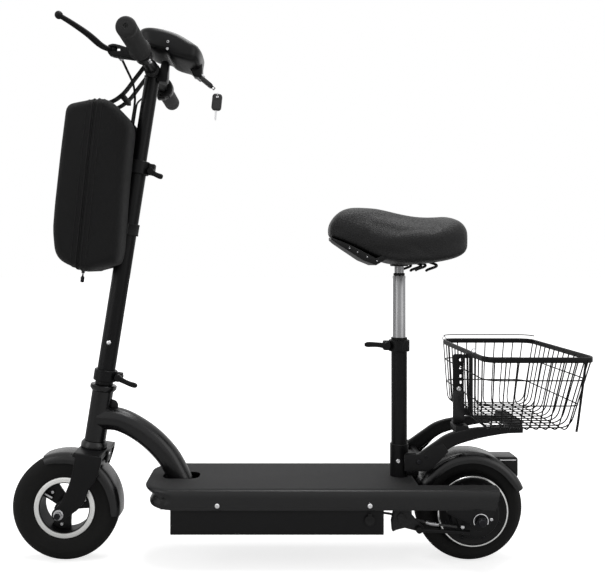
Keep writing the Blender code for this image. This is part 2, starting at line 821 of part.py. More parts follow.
def stem_tubes():
    """The lower stem tube that stands on the steerer."""
    tube = ring(lower_stem_radius, lower_stem_radius - lower_stem_wall, lower_stem_bottom, lower_stem_top)
    body = finish("lower_stem", tube, black_paint, steering)
    hole = round_hole(stem_button_radius, 0, 0.05)
    cut(body, finish("button_hole", hole, black_paint, steering, (0, 0, stem_button_height), along_y))
    for low in (base_clamp_bottom, stem_clamp_bottom):
        height = base_clamp_height if low == base_clamp_bottom else lower_stem_top - stem_clamp_bottom
        slit = block((-0.03, -0.0008, low), (0, 0.0008, low + height + 0.001))
        cut(body, finish("stem_slit", slit, black_paint, steering))
    return body


def clamp_collar(name, parent, inside, low, height, bolt_forward, ears, lip=None):
    """A split collar with two ears and a hole across them for the bolt.

    A lip, given as (radius, bottom, top), closes over the end of the tube.
    """
    outside = inside + clamp_wall
    sign = 1 if bolt_forward > 0 else -1
    bore = across(inside, 14)
    profile = [(bore, low), (outside, low), (outside, low + height)]
    if lip:
        throat = across(lip[0], 14)
        profile[2:] = [(outside, lip[2]), (throat, lip[2]), (throat, lip[1])]
        profile += [(bore, lip[1])]
    else:
        profile += [(bore, low + height)]
    body = finish(name, spun(profile, 14), black_paint, parent)
    reach = sorted((sign * (inside + 0.002), sign * (outside + ears)))
    ear = block((reach[0], -0.0085, low + 0.002), (reach[1], 0.0085, low + height - 0.002))
    weld(body, finish("collar_ears", ear, black_paint, parent))
    split = sorted((0, sign * (outside + ears + 0.01)))
    gap = block((split[0], -0.0012, low - 0.01), (split[1], 0.0012, low + height - 0.0005))
    cut(body, finish("collar_split", gap, black_paint, parent))
    hole = round_hole(clamp_bolt_radius, -0.05, 0.05)
    cut(body, finish("collar_hole", hole, black_paint, parent,
                     (sign * (outside + ears / 2), 0, low + height / 2), along_y))
    return body


def quick_lever(name, parent, pivot, ear_half, length, swing):
    """A cam lever on a cross bolt; the empty sits on the bolt's axis."""
    hinge = add_empty(name + "_hinge", parent, pivot, (0, swing, 0))
    pin = rod(clamp_bolt_radius, -ear_half - 0.0050, ear_half + 0.0035, sides=8)
    body = finish(name, moved(pin, turn=along_y), black_paint, hinge)
    cam = rod(0.0070, ear_half + fit, ear_half + 0.0110)
    weld(body, finish("lever_cam", moved(cam, turn=along_y), black_paint, hinge))
    nut = rod(0.0055, -ear_half - 0.0060, -ear_half - fit)
    weld(body, finish("lever_nut", moved(nut, turn=along_y), black_paint, hinge))
    outline = [(-0.004, 0.0060), (-0.004, -0.0060), (length * 0.6, -0.0042)]
    outline += arc((length - 0.005, 0), 0.0050, -80, 80, 3) + [(length * 0.6, 0.0052)]
    handle = slab(outline, "Y", ear_half + 0.0040, ear_half + 0.0100)
    weld(body, finish("lever_handle", handle, black_paint, hinge))
    return body


def stem_clamps():
    """Both collars of the stem: at its foot and at the telescope."""
    inside = lower_stem_radius + fit
    ears = 0.011
    pivot_x = inside + clamp_wall + ears / 2
    clamp_collar("stem_base_clamp", steering, inside, base_clamp_bottom, base_clamp_height, -1, ears)
    lip = (upper_stem_radius + fit, lower_stem_top + fit, stem_clamp_bottom + stem_clamp_height)
    top = clamp_collar("stem_clamp", steering, inside, stem_clamp_bottom, lower_stem_top - stem_clamp_bottom, -1,
                       ears, lip)
    quick_lever("stem_base_lever", steering,
                (-pivot_x, 0, base_clamp_bottom + base_clamp_height / 2), 0.0085, 0.040, radians(165))
    quick_lever("stem_clamp_lever", steering,
                (-pivot_x, 0, (stem_clamp_bottom + lower_stem_top) / 2), 0.0085, 0.030, radians(160))
    return top


def stem_button():
    """The sprung catch pin that shows through the lower tube."""
    inside = lower_stem_radius - lower_stem_wall
    reach = (inside ** 2 - stem_button_radius ** 2) ** 0.5
    shape = spun([(0, -0.001), (0.0065, -0.001), (0.0065, reach - fit - 0.002), (stem_button_radius, reach - fit),
                  (stem_button_radius, lower_stem_radius + 0.0010), (0.0025, lower_stem_radius + 0.0030),
                  (0, lower_stem_radius + 0.0032)], 10)
    hinge = add_empty("button_slide", steering, (0, 0, stem_button_height))
    return finish("stem_button", moved(shape, turn=along_y), steel, hinge)


def handlebar():
    """The upper stem tube, the crossbar and the bracket for the display."""
    low = lower_stem_top - upper_stem_overlap - bar_height
    tube = ring(upper_stem_radius, upper_stem_radius - upper_stem_wall, low, bar_radius * 0.5)
    lean = (0, -steering_lean, 0)
    body = finish("handlebar", tube, black_paint, stem_slide, turn=lean)
    bar = ring(bar_radius, bar_radius - 0.002, -bar_half_width, bar_half_width, sides=14)
    weld(body, finish("cross_bar", moved(bar, turn=along_y), black_paint, stem_slide))
    bracket = slab([(-0.0080, -0.0200), (-0.0250, -0.0220), (-0.0290, -0.0100), (-0.0300, 0.0180),
                    (-0.0180, 0.0180), (-0.0140, 0.0000)], "Y", -0.0130, 0.0130)
    weld(body, finish("display_bracket", bracket, black_paint, stem_slide))
    return body


def grip_profile(start, length):
    """A grip with a flange at its inner end and a closed outer end."""
    end = start + length
    inside = across(bar_radius + fit, 14)
    return [(inside, start), (grip_radius + 0.0025, start), (grip_radius + 0.0025, start + 0.003),
            (grip_radius, start + 0.006), (grip_radius, end - 0.004), (grip_radius - 0.003, end),
            (0.001, end), (0.001, end - 0.002), (inside, end - 0.0025)]


def grips_and_throttle():
    """Left grip, throttle housing and the twist grip on the right."""
    profile = grip_profile(grip_start, grip_length)
    finish("left_grip", spun(profile, 14), grip_rubber, stem_slide, turn=along_y)
    twist = add_empty("throttle_axis", stem_slide)
    finish("throttle_grip", spun(profile, 14), grip_rubber, twist, turn=(pi / 2, 0, 0))
    inside = across(bar_radius + fit, 14)
    housing = spun(
        [(inside, throttle_inner), (throttle_radius - 0.003, throttle_inner),
         (throttle_radius, throttle_inner + 0.003), (throttle_radius, grip_start - 0.004),
         (throttle_radius - 0.0025, grip_start - fit), (inside, grip_start - fit)], 14)
    finish("throttle_housing", housing, black_plastic, stem_slide, turn=(pi / 2, 0, 0))


def brake_lever():
    """The clamp on the bar, its two-ear mount and the sprung lever."""
    collar = ring(bar_radius + fit + clamp_wall, bar_radius + fit,
                  brake_lever_y - perch_half_width, brake_lever_y + perch_half_width)
    body = finish("brake_perch", moved(collar, turn=along_y), black_plastic, stem_slide)
    arm = slab([(0.0128, -0.0095), (0.0380, -0.0060), (0.0600, 0.0000), (0.0610, 0.0150),
                (0.0470, 0.0170), (0.0300, 0.0120), (0.0128, 0.0090)], "Y",
               brake_lever_y - 0.0095, brake_lever_y + 0.0095)
    weld(body, finish("perch_arm", arm, black_plastic, stem_slide))
    pivot = (0.0520, brake_lever_y, 0.0085)
    room = block((0.0380, brake_lever_y - 0.0200, 0.0040), (0.0700, brake_lever_y + 0.0200, 0.0130))
    cut(body, finish("lever_room", room, black_plastic, stem_slide))
    barrel = rod(0.0045, brake_lever_y - 0.0240, brake_lever_y - 0.0085, sides=10)
    weld(body, finish("cable_adjuster", moved(barrel, (0.0420, 0, -0.0010), along_y),
                      black_plastic, stem_slide))
    bore = round_hole(0.0023, -0.05, 0.05, 8)
    cut(body, finish("lever_pin_hole", bore, black_plastic, stem_slide, pivot))
    hinge = add_empty("brake_lever_hinge", stem_slide, pivot)
    path = smooth_path([(0.000, -0.004, 0.0), (0.012, 0.012, 0.0004), (0.030, 0.040, 0.0040),
                        (0.046, 0.080, 0.0110), (0.0600, 0.1280, 0.0210)], 6)
    scales = [1.0, 1.0, 0.98, 0.94, 0.9, 0.84, 0.78]
    blade = swept(path, [(a * 1.5, b * 0.85) for a, b in circle(0.0045, 6)], (0.9, -0.3, 0), scales)
    lever = finish("brake_lever", blade, black_paint, hinge)
    boss = rod(0.0070, -0.0042, 0.0042, sides=10)
    weld(lever, finish("lever_boss", boss, black_paint, hinge))
    pin = rod(0.0023, -0.0120, 0.0095, sides=6)
    weld(lever, finish("lever_pin", pin, black_paint, hinge))
    ball = bmesh.new()
    bmesh.ops.create_uvsphere(ball, u_segments=8, v_segments=4, radius=0.0065)
    weld(lever, finish("lever_ball", ball, black_paint, hinge, path[-1]))


# Profile of the display housing, from the bar's centre: (forwards, up)
display_top = [(0.0200, 0.0640), (0.0050, 0.0715), (-0.0180, 0.0690), (-0.0440, 0.0600), (-0.0700, 0.0470),
               (-0.0900, 0.0330), (-0.0990, 0.0230)]
display_base = [(-0.0980, 0.0080), (-0.0945, -0.0080), (-0.0900, -0.0135), (-0.0760, -0.0115),
                (-0.0520, -0.0040), (-0.0400, 0.0040), (-0.0280, 0.0200), (0.0080, 0.0260),
                (0.0200, 0.0400)]


def display():
    """The instrument housing: a shell with rounded sides and a lens on top."""
    outline = display_top + display_base
    centre = Vector((sum(x for x, z in outline) / len(outline), 0, sum(z for x, z in outline) / len(outline)))

    def layer(y, scale):
        return [(centre.x + (x - centre.x) * scale, y, centre.z + (z - centre.z) * scale) for x, z in outline]

    half = display_half_width
    loops = [layer(-half, 0.55), layer(-half * 0.92, 0.82), layer(-half * 0.68, 0.96), layer(0, 1.0),
             layer(half * 0.68, 0.96), layer(half * 0.92, 0.82), layer(half, 0.55)]
    body = finish("display_housing", stacked(loops), black_plastic, stem_slide)
    bracket_room = block((-0.0320, -0.0133, -0.03), (-0.0100, 0.0133, 0.0183))
    cut(body, finish("bracket_room", bracket_room, black_plastic, stem_slide))
    face = display_top[2:6]
    recess = slab([(x, z - 0.0030) for x, z in face] + [(x, z + 0.010) for x, z in reversed(face)],
                  "Y", -half * 0.60, half * 0.60)
    cut(body, finish("lens_recess", recess, black_plastic, stem_slide))
    face = [(face[0][0] - 2 * fit, face[0][1])] + face[1:3] + [(face[3][0] + 2 * fit, face[3][1])]
    lens = slab([(x, z - 0.0030 + 2 * fit) for x, z in face] + [(x, z + 0.0004) for x, z in reversed(face)],
                "Y", -half * 0.60 + fit, half * 0.60 - fit)
    finish("display_lens", lens, clear_plastic, stem_slide)
    place, turn = (-0.0880, 0, -0.0080), (0, -radians(130), 0)
    lock_hole = round_hole(lock_radius, -0.012, 0.05)
    cut(body, finish("lock_hole", lock_hole, black_plastic, stem_slide, place, turn))
    lock = spun([(0, -0.0110), (lock_radius, -0.0110), (lock_radius, 0.0080), (lock_radius - 0.001, 0.0090),
                 (0.0030, 0.0090), (0.0030, -0.0095), (0, -0.0095)], 12)
    finish("key_lock", lock, steel, stem_slide, place, turn)
    keys(place, turn)


def key_shape(name, parent):
    """A key along its own Z: blade below, head above, lying in XZ."""
    blade = block((-0.0022, -0.0008, -0.0190), (0.0022, 0.0008, 0.0010))
    body = finish(name, blade, steel, parent)
    head = slab([(x, z + 0.0160) for x, z in rounded(0.0180, 0.0320, 0.006)], "Y",
                -key_thickness / 2, key_thickness / 2, 0.001)
    weld(body, finish("key_head", head, black_plastic, parent))
    hole = rod(0.0027, -0.02, 0.02, sides=10)
    cut(body, finish("key_hole", hole, steel, parent, (0, 0, 0.0265), along_y))
    return body


def keys(place, turn):
    """The key in the lock and the spare one that hangs from it by a ring."""
    lock_axis = add_empty("key_axis", stem_slide, place, turn)
    spin = add_empty("key_turn", lock_axis, (0, 0, 0.0105), (0, 0, pi / 2))
    key = key_shape("key", spin)
    tab = block((-0.0008, -0.0030, 0.0310), (0.0008, 0.0030, 0.0390))
    weld(key, finish("key_tab", tab, black_plastic, spin))
    eye_height = 0.0355
    cut(key, finish("key_eye", rod(0.0020, -0.01, 0.01), steel, spin, (0, 0, eye_height), (0, pi / 2, 0)))
    down = Vector((sin(turn[1]), 0, cos(turn[1])))
    eye = Vector(place) + down * (0.0105 + eye_height)
    hang = add_empty("spare_key_hang", stem_slide, eye)
    loop = bmesh.new()
    middle = Vector((0, 0, -key_ring_radius))
    rows = []
    for step in range(12):
        angle = 2 * pi * step / 12
        out = Vector((0, sin(angle), cos(angle)))
        rows.append([loop.verts.new(middle + out * (key_ring_radius + key_ring_wire * cos(t))
                                    + Vector((key_ring_wire * sin(t), 0, 0)))
                     for t in (0, pi / 2, pi, 3 * pi / 2)])
    for first, second in zip(rows, rows[1:] + rows[:1]):
        for index in range(4):
            other = (index + 1) % 4
            loop.faces.new((first[index], first[other], second[other], second[index]))
    spare = finish("spare_key", loop, steel, hang)
    body = add_empty("spare_key_body", hang, (0, 0, -2 * key_ring_radius + 0.0023 - 0.0265))
    weld(spare, key_shape("spare_key_blank", body))
    return key


def net(corners, columns, rows, wire):
    """A flat net of square wire between four corners, as one closed solid."""
    origin, right, far, left = [Vector(corner) for corner in corners]
    normal = (right - origin).cross(left - origin).normalized() * wire / 2
    wide = ((right - origin).length + (far - left).length) / 2
    high = (left - origin).length

    def steps(count, length):
        values = []
        for index in range(count + 1):
            middle = wire / 2 + (length - wire) * index / count
            values += [(middle - wire / 2) / length, (middle + wire / 2) / length]
        return values

    across, up = steps(columns, wide), steps(rows, high)

    def at(u, v):
        return (origin * (1 - u) + right * u) * (1 - v) + (left * (1 - u) + far * u) * v

    def solid(i, j):
        inside = 0 <= i < len(across) - 1 and 0 <= j < len(up) - 1
        return inside and (i % 2 == 0 or j % 2 == 0)

    shape = bmesh.new()
    front = [[shape.verts.new(at(u, v) + normal) for v in up] for u in across]
    back = [[shape.verts.new(at(u, v) - normal) for v in up] for u in across]
    for i in range(len(across) - 1):
        for j in range(len(up) - 1):
            if not solid(i, j):
                continue
            ring_of = [(i, j), (i + 1, j), (i + 1, j + 1), (i, j + 1)]
            shape.faces.new([front[a][b] for a, b in ring_of])
            shape.faces.new([back[a][b] for a, b in reversed(ring_of)])
            for k, neighbour in enumerate(((i, j - 1), (i + 1, j), (i, j + 1), (i - 1, j))):
                if solid(*neighbour):
                    continue
                a, b = ring_of[k], ring_of[(k + 1) % 4]
                shape.faces.new((front[a[0]][a[1]], back[a[0]][a[1]], back[b[0]][b[1]], front[b[0]][b[1]]))
    loose = [vertex for vertex in shape.verts if not vertex.link_faces]
    bmesh.ops.delete(shape, geom=loose, context="VERTS")
    return shape


def fender(name, parent, radius, half_width, start, end, steps):
    """A channel bent round the wheel, from one angle to another in degrees."""
    wall = fender_wall
    edge = radius - fender_skirt
    outer = [(-half_width, edge), (-half_width, radius - 0.006), (-half_width + 0.006, radius),
             (half_width - 0.006, radius), (half_width, radius - 0.006), (half_width, edge)]
    inner = [(half_width - wall, edge), (half_width - wall, radius - 0.006 - wall * 0.4),
             (half_width - 0.006 - wall * 0.4, radius - wall), (-half_width + 0.006 + wall * 0.4, radius - wall),
             (-half_width + wall, radius - 0.006 - wall * 0.4), (-half_width + wall, edge)]
    loops = []
    for step in range(steps + 1):
        angle = radians(start + (end - start) * step / steps)
        loops.append([(r * cos(angle), y, r * sin(angle)) for y, r in outer + inner])
    return finish(name, stacked(loops), black_plastic, parent, sharp=35)


def cable(name, route, radius, count, material, parent):
    """A round cord through the given points."""
    shape = bpy.data.curves.new(name, "CURVE")
    shape.dimensions = "3D"
    shape.use_fill_caps = True
    shape.bevel_resolution = 1
    shape.bevel_depth = radius
    shape.materials.append(material)
    path = smooth_path(route, count)
    spline = shape.splines.new("POLY")
    spline.points.add(len(path) - 1)
    for point, place in zip(spline.points, path):
        point.co = (*place, 1)
    piece = bpy.data.objects.new(name, shape)
    bpy.context.collection.objects.link(piece)
    piece.parent = parent
    return piece


def rear_wheel():
    """Hub motor: a can that carries the tyre, its left cover and the brake drum."""
    bead = rear_bead_diameter / 2
    seat = bead_seat + fit
    inside = bead - 0.0040
    lip = rear_flange_radius - motor_rim_lip
    edge = motor_half_width
    cover = edge - motor_cover_wall
    turning = across(rear_axle_radius + fit, wheel_sides)
    can = [(turning, -edge), (rear_flange_radius, -edge), (rear_flange_radius, -seat), (bead, -seat), (bead, seat),
           (rear_flange_radius, seat), (rear_flange_radius, edge), (lip, edge), (lip, cover - fit),
           (inside, cover - fit), (inside, -cover), (turning, -cover)]
    finish("hub_motor_shell", spun(can, wheel_sides), black_paint, rear_axle_centre, turn=along_y)
    drum_radius = brake_drum_radius - 0.0060
    drum = [(turning, cover), (lip - fit, cover), (lip - fit, edge - 0.0006), (drum_radius, edge + 0.0005),
            (drum_radius, edge + brake_width - 0.0080), (drum_radius - 0.0030, edge + brake_width - 0.0080),
            (drum_radius - 0.0030, edge + 0.0020), (turning, edge + 0.0020)]
    finish("hub_cover", spun(drum, wheel_sides), black_paint, rear_axle_centre, turn=along_y)
    tyre("rear_tyre", rear_axle_centre, rear_bead_diameter, rear_flange_height)


def rear_axle():
    """The motor's fixed axle with windings, washers and nuts."""
    inner = dropout_inside - fit
    outer = dropout_inside + dropout_thickness + fit
    winding_radius = rear_bead_diameter / 2 - 0.0040 - 0.0030
    half = [(winding_radius, 0.0170), (0.0150, 0.0190), (rear_axle_radius, 0.0280),
            (rear_axle_radius, inner - 0.0060), (0.0110, inner - 0.0060), (0.0110, inner),
            (rear_axle_radius, inner), (rear_axle_radius, outer), (0.0120, outer), (0.0120, outer + 0.0020),
            (rear_axle_radius, outer + 0.0020), (rear_axle_radius, outer + 0.0140), (0, outer + 0.0140)]
    profile = [(r, -y) for r, y in reversed(half)] + half
    body = finish("rear_axle", spun(profile, 8), steel, rear_axle_centre, turn=along_y)
    for side in (1, -1):
        nut = slab(hexagon(0.0170), "Z", outer + 0.0018, outer + 0.0100)
        weld(body, finish("rear_nut", nut, steel, rear_axle_centre, turn=(-side * pi / 2, 0, 0)))
    return body


def rear_brake():
    """The brake's still cover over the drum, and the arm that the cable pulls."""
    low = motor_half_width + 0.0015
    high = motor_half_width + brake_width
    turning = across(rear_axle_radius + fit, 18)
    profile = [(turning, high - 0.0030), (brake_drum_radius - 0.0022, high - 0.0030),
               (brake_drum_radius - 0.0022, low), (brake_drum_radius, low), (brake_drum_radius, high - 0.0020),
               (brake_drum_radius - 0.0020, high), (turning, high)]
    body = finish("brake_backplate", spun(profile, 18), black_paint, rear_axle_centre, turn=along_y)
    pivot = Vector((0.0350, 0, 0.0060))
    lug = rod(0.0080, high - 0.0010, high + 0.0030, sides=10)
    weld(body, finish("brake_lug", lug, black_paint, rear_axle_centre, pivot, along_y))
    bore = round_hole(0.0030, high - 0.0010, high + 0.0040, 8)
    cut(body, finish("brake_bore", bore, black_paint, rear_axle_centre, pivot, along_y))
    stay = rod(0.0035, high - 0.0010, dropout_inside - fit, sides=6)
    weld(body, finish("brake_stay", stay, black_paint, rear_axle_centre, (-0.0200, 0, 0.0120), along_y))
    use_manifold(body)
    hinge = add_empty("brake_arm_hinge", rear_axle_centre, pivot)
    face = high + 0.0030 + fit
    outline = arc((0, 0), 0.0070, 20, 200, 4) + arc((-0.0090, -0.0260), 0.0055, 200, 380, 4)
    arm = finish("brake_arm", slab(outline, "Y", face, face + 0.0030), black_paint, hinge)
    pin = rod(0.0030, high - 0.0008, face + 0.0045)
    weld(arm, finish("arm_pin", moved(pin, turn=along_y), black_paint, hinge))
    clamp = rod(0.0038, face + 0.0020, face + 0.0080)
    weld(arm, finish("pinch_bolt", moved(clamp, (-0.0090, 0, -0.0260), along_y), black_paint, hinge))
    return arm


def tail_light():
    """The lamp on the back of the rear fender."""
    half = tail_light_width / 2
    shape = block((-0.4375, -half, 0.1600), (-0.3800, half, 0.2045), 0.0030)
    body = finish("tail_light", shape, black_plastic, scooter)
    room = rod(rear_fender_radius + fit, -0.1, 0.1, sides=72)
    cut(body, finish("lamp_room", room, black_plastic, rear_axle_centre, turn=along_y))
    return body


def rack():
    """Seat sleeve, gusset plate and the two tubes that carry the basket."""
    foot = deck_bottom + 0.0140 + fit
    sleeve = ring(sleeve_radius, seat_tube_radius - 0.001, foot, sleeve_top)
    body = finish("rack_frame", sleeve, black_paint, scooter, (seat_x, 0, 0))
    section = rounded(rack_width, rack_depth, 0.004, 1)
    for side in (1, -1):
        y = side * rack_y
        path = smooth_path([(-0.2080, y, 0.1800), (-0.2480, y, 0.2010), (-0.2780, y, 0.2220), (-0.3050, y, 0.2390),
                            (-0.3467, y, 0.2500), (-0.3960, y, 0.2560), (rack_rear_x, y, 0.2560)], 8)
        scales = [1.0, 1.0, 1.0, 1.0, 0.96, 0.82, 0.68, 0.52, 0.40]
        tube = swept(path, section, scales=scales)
        weld(body, finish("rack_tube", tube, black_paint, scooter))
    plate = block((seat_x - 0.0380, -rack_y - 0.0080, 0.1790), (seat_x + 0.0130, rack_y + 0.0080, 0.2040))
    weld(body, finish("rack_gusset", plate, black_paint, scooter))
    front_plate = block((bracket_front_x - 0.0260, -rack_y - 0.0050, 0.2500),
                        (bracket_front_x + 0.0020, rack_y + 0.0050, rack_plate_top))
    weld(body, finish("rack_front_plate", front_plate, black_paint, scooter))
    beam = block((rack_rear_x + 0.0010, -rack_y - 0.0040, 0.2540),
                 (rack_rear_x + 0.0200, rack_y + 0.0040, basket_bottom - fit))
    weld(body, finish("rack_beam", beam, black_paint, scooter))
    bore = round_hole(seat_tube_radius, foot - 0.01, sleeve_top + 0.01, 14)
    cut(body, finish("sleeve_bore", bore, black_paint, scooter, (seat_x, 0, 0)))
    for side in (1, -1):
        for x, z in rack_bolts:
            shape = bolt(0.0050, 0.0028, 0.0020, 0.0060)
            weld(body, finish("rack_bolt", shape, black_paint, scooter,
                              (x, side * (rack_y + 0.0080), z), (-side * pi / 2, 0, 0)))
    use_manifold(body)
    return body


def seat_post_parts():
    """Seat tube, its clamp and lever, and the sliding post."""
    foot = deck_bottom + 0.0140 + 2 * fit
    tube = ring(seat_tube_radius, seat_tube_radius - seat_tube_wall, foot, seat_tube_top)
    body = finish("seat_tube", tube, black_paint, scooter, (seat_x, 0, 0))
    slit = block((0, -0.0008, seat_tube_top - seat_clamp_height), (0.03, 0.0008, seat_tube_top + 0.001))
    cut(body, finish("seat_slit", slit, black_paint, scooter, (seat_x, 0, 0)))
    base = add_empty("seat_clamp_base", scooter, (seat_x, 0, 0))
    low = seat_tube_top - seat_clamp_height
    inside = seat_tube_radius + fit
    ears = 0.012
    lip = (seat_post_radius + fit, seat_tube_top + fit, seat_tube_top + 0.0045)
    collar = clamp_collar("seat_clamp", base, inside, low, seat_clamp_height, 1, ears, lip)
    quick_lever("seat_clamp_lever", base,
                (inside + clamp_wall + ears / 2, 0, low + seat_clamp_height / 2), 0.0085, 0.036, radians(-6))
    post_low = seat_post_bottom - seat_tube_top
    post_high = seat_post_top - seat_tube_top
    pin_high = seat_pin_top - seat_tube_top
    wall = seat_post_radius - seat_post_wall
    profile = [(0, post_high - 0.006), (wall, post_high - 0.006), (wall, post_low), (seat_post_radius, post_low),
               (seat_post_radius, post_high - 0.001), (seat_post_radius - 0.001, post_high),
               (seat_pin_radius, post_high), (seat_pin_radius, pin_high), (0, pin_high)]
    finish("seat_post", spun(profile, 14), silver, seat_slide)
    return collar


# Stations of the saddle: (x, top, lower edge, half width), with the post's top at saddle_post_top
saddle_stations = [
    (-0.0790, 0.6360, 0.6190, 0.0250), (-0.0830, 0.6480, 0.6150, 0.0340), (-0.0900, 0.6580, 0.6110, 0.0400),
    (-0.1020, 0.6670, 0.6060, 0.0440), (-0.1180, 0.6725, 0.5995, 0.0465), (-0.1400, 0.6725, 0.5880, 0.0510),
    (-0.1640, 0.6695, 0.5745, 0.0590), (-0.1880, 0.6660, 0.5640, 0.0700), (-0.2120, 0.6620, 0.5610, 0.0820),
    (-0.2360, 0.6590, 0.5615, 0.0915), (-0.2600, 0.6565, 0.5635, 0.0970), (-0.2820, 0.6550, 0.5665, 0.0990),
    (-0.3020, 0.6535, 0.5705, 0.0965), (-0.3180, 0.6500, 0.5760, 0.0890), (-0.3290, 0.6420, 0.5850, 0.0760),
    (-0.3340, 0.6310, 0.5960, 0.0600),
]
saddle_post_top = 0.5416


def saddle_scale(half):
    """A half width of the listed saddle, widened with the rear or the nose."""
    rear, nose = saddle_rear_width / 0.2000, saddle_nose_width / 0.0900
    share = min(max((half - 0.0465) / (0.0990 - 0.0465), 0), 1)
    return half * (nose + (rear - nose) * share)


def saddle():
    """Cushion with a crown, the pan below it, rails, clamp and four springs."""
    stretch = saddle_length / 0.2550
    front = -0.0790
    lift = seat_post_top - saddle_post_top - seat_tube_top

    def world(x):
        return front + (x - front) * stretch - seat_x

    def section(x, top, lower, half):
        half = saddle_scale(half)
        height = top - lower
        points = []
        for share, rise in ((1.00, 0.00), (0.97, 0.14), (0.965, 0.38), (0.985, 0.60), (0.93, 0.77),
                            (0.80, 0.89), (0.58, 0.965), (0.30, 1.0)):
            points.append((half * share, lower + height * rise))
        points.append((0, top - height * 0.004))
        left = [(-y, z) for y, z in reversed(points[:-1])]
        return [(world(x), y, z + lift) for y, z in points + left]

    cushion = finish("saddle_cushion", stacked([section(*station) for station in saddle_stations]),
                     vinyl, seat_slide, sharp=60)
    roof = saddle_roof - seat_tube_top

    def plate(x, lower, half, thick, slack):
        z = lower - 0.0050 + lift if x > -0.1600 else roof
        inset = 0.0030 if x > -0.1600 else 0.0170
        y = saddle_scale(half) - inset + slack
        return [(world(x), y, z), (world(x), y, z + thick), (world(x), -y, z + thick), (world(x), -y, z)]

    picked = saddle_stations[1:6] + saddle_stations[6:15:2]
    stations = [(x, lower, half) for x, top, lower, half in picked]
    room = [[(x, y, z) for x, y, z in plate(*item, 0.0050 + fit, fit)] for item in stations]
    deep = [[(loop[0][0], loop[0][1], loop[0][2] - 0.1), loop[1], loop[2], (loop[3][0], loop[3][1], loop[3][2] - 0.1)]
            for loop in room]
    cut(cushion, finish("pan_room", stacked([[(x + (fit if index == 0 else -fit if index == len(deep) - 1 else 0),
                                                y, z) for x, y, z in loop]
                                               for index, loop in enumerate(deep)]), vinyl, seat_slide))
    pan = finish("saddle_pan", stacked([plate(*item, 0.0050, 0) for item in stations]), black_plastic, seat_slide)
    top = roof - fit
    clamp_low = seat_post_top - seat_tube_top + 0.0030
    block_shape = block((-0.0170, -0.0210, clamp_low + 0.0050), (0.0170, 0.0210, top), 0.002)
    clamp = finish("saddle_clamp", block_shape, black_paint, seat_slide)
    ring_shape = ring(0.0128, seat_pin_radius + fit, clamp_low - 0.0030 + fit, clamp_low + 0.0080, sides=14)
    weld(clamp, finish("clamp_ring", ring_shape, black_paint, seat_slide))
    bore = round_hole(seat_pin_radius, clamp_low - 0.01, seat_pin_top - seat_tube_top + fit, 14)
    cut(clamp, finish("clamp_bore", bore, black_paint, seat_slide))
    wire = spring_wire_radius
    low = roof - spring_drop + wire
    height = roof + 0.0015 - low
    coil = helix(spring_coil_radius, height, spring_turns, 7)
    gaps = [(a - b).length - 2 * wire for i, a in enumerate(coil) for b in coil[i + 4:]]
    print("least gap of a saddle spring to itself, mm:", round(min(gaps) * 1000, 2))
    for x in spring_xs:
        for y in (-spring_y, spring_y):
            path = [point + Vector((x, y, low)) for point in coil]
            weld(pan, finish("spring", swept(path, circle(wire, 4), (0, 0, 1)), black_paint, seat_slide))
    return pan


def basket():
    """Four netted walls under a rim, a netted floor and the bracket on the rack."""
    top = basket_top - rim_band / 2
    low = basket_bottom + basket_wire / 2
    front, rear, half = basket_front_x - 0.0020, basket_rear_x + 0.0020, basket_half_width - 0.0020
    corner = 0.0030
    low_front, low_rear = front - basket_front_taper, rear + basket_taper * 1.1
    low_half = half - basket_taper
    rim = 0.0020

    def wall(name, start, end, low_start, low_end, bar_low, bar_high):
        long = (Vector(start) - Vector(end)).length
        columns = max(int(long / (basket_pitch if long < 0.25 else basket_pitch * 1.25)), 2)
        mesh = net([(*low_start, low), (*low_end, low), (*end, top), (*start, top)], columns, 3, basket_wire)
        body = finish(name, mesh, black_paint, scooter)
        bar = block((*bar_low, basket_top - rim_band), (*bar_high, basket_top))
        weld(body, finish("rim_bar", bar, black_paint, scooter))

    for name, side in (("basket_left", 1), ("basket_right", -1)):
        y = side * half
        inner, outer = sorted((side * (half - rim), side * (half + rim)))
        wall(name, (front - corner, y), (rear + corner, y),
             (low_front - corner, side * low_half), (low_rear + corner, side * low_half),
             (rear - rim, inner), (front + rim, outer))
    for name, x, low_x in (("basket_front", front, low_front), ("basket_rear", rear, low_rear)):
        wall(name, (x, -half + corner), (x, half - corner), (low_x, -low_half + corner), (low_x, low_half - corner),
             (x - rim, -half + rim + fit), (x + rim, half - rim - fit))
    inset = basket_wire / 2 + fit
    floor = [(low_front - inset, -low_half + inset, low), (low_front - inset, low_half - inset, low),
             (low_rear + inset, low_half - inset, low), (low_rear + inset, -low_half + inset, low)]
    finish("basket_floor", net(floor, 6, 3, basket_wire), black_paint, scooter)
    return basket_bracket(front)


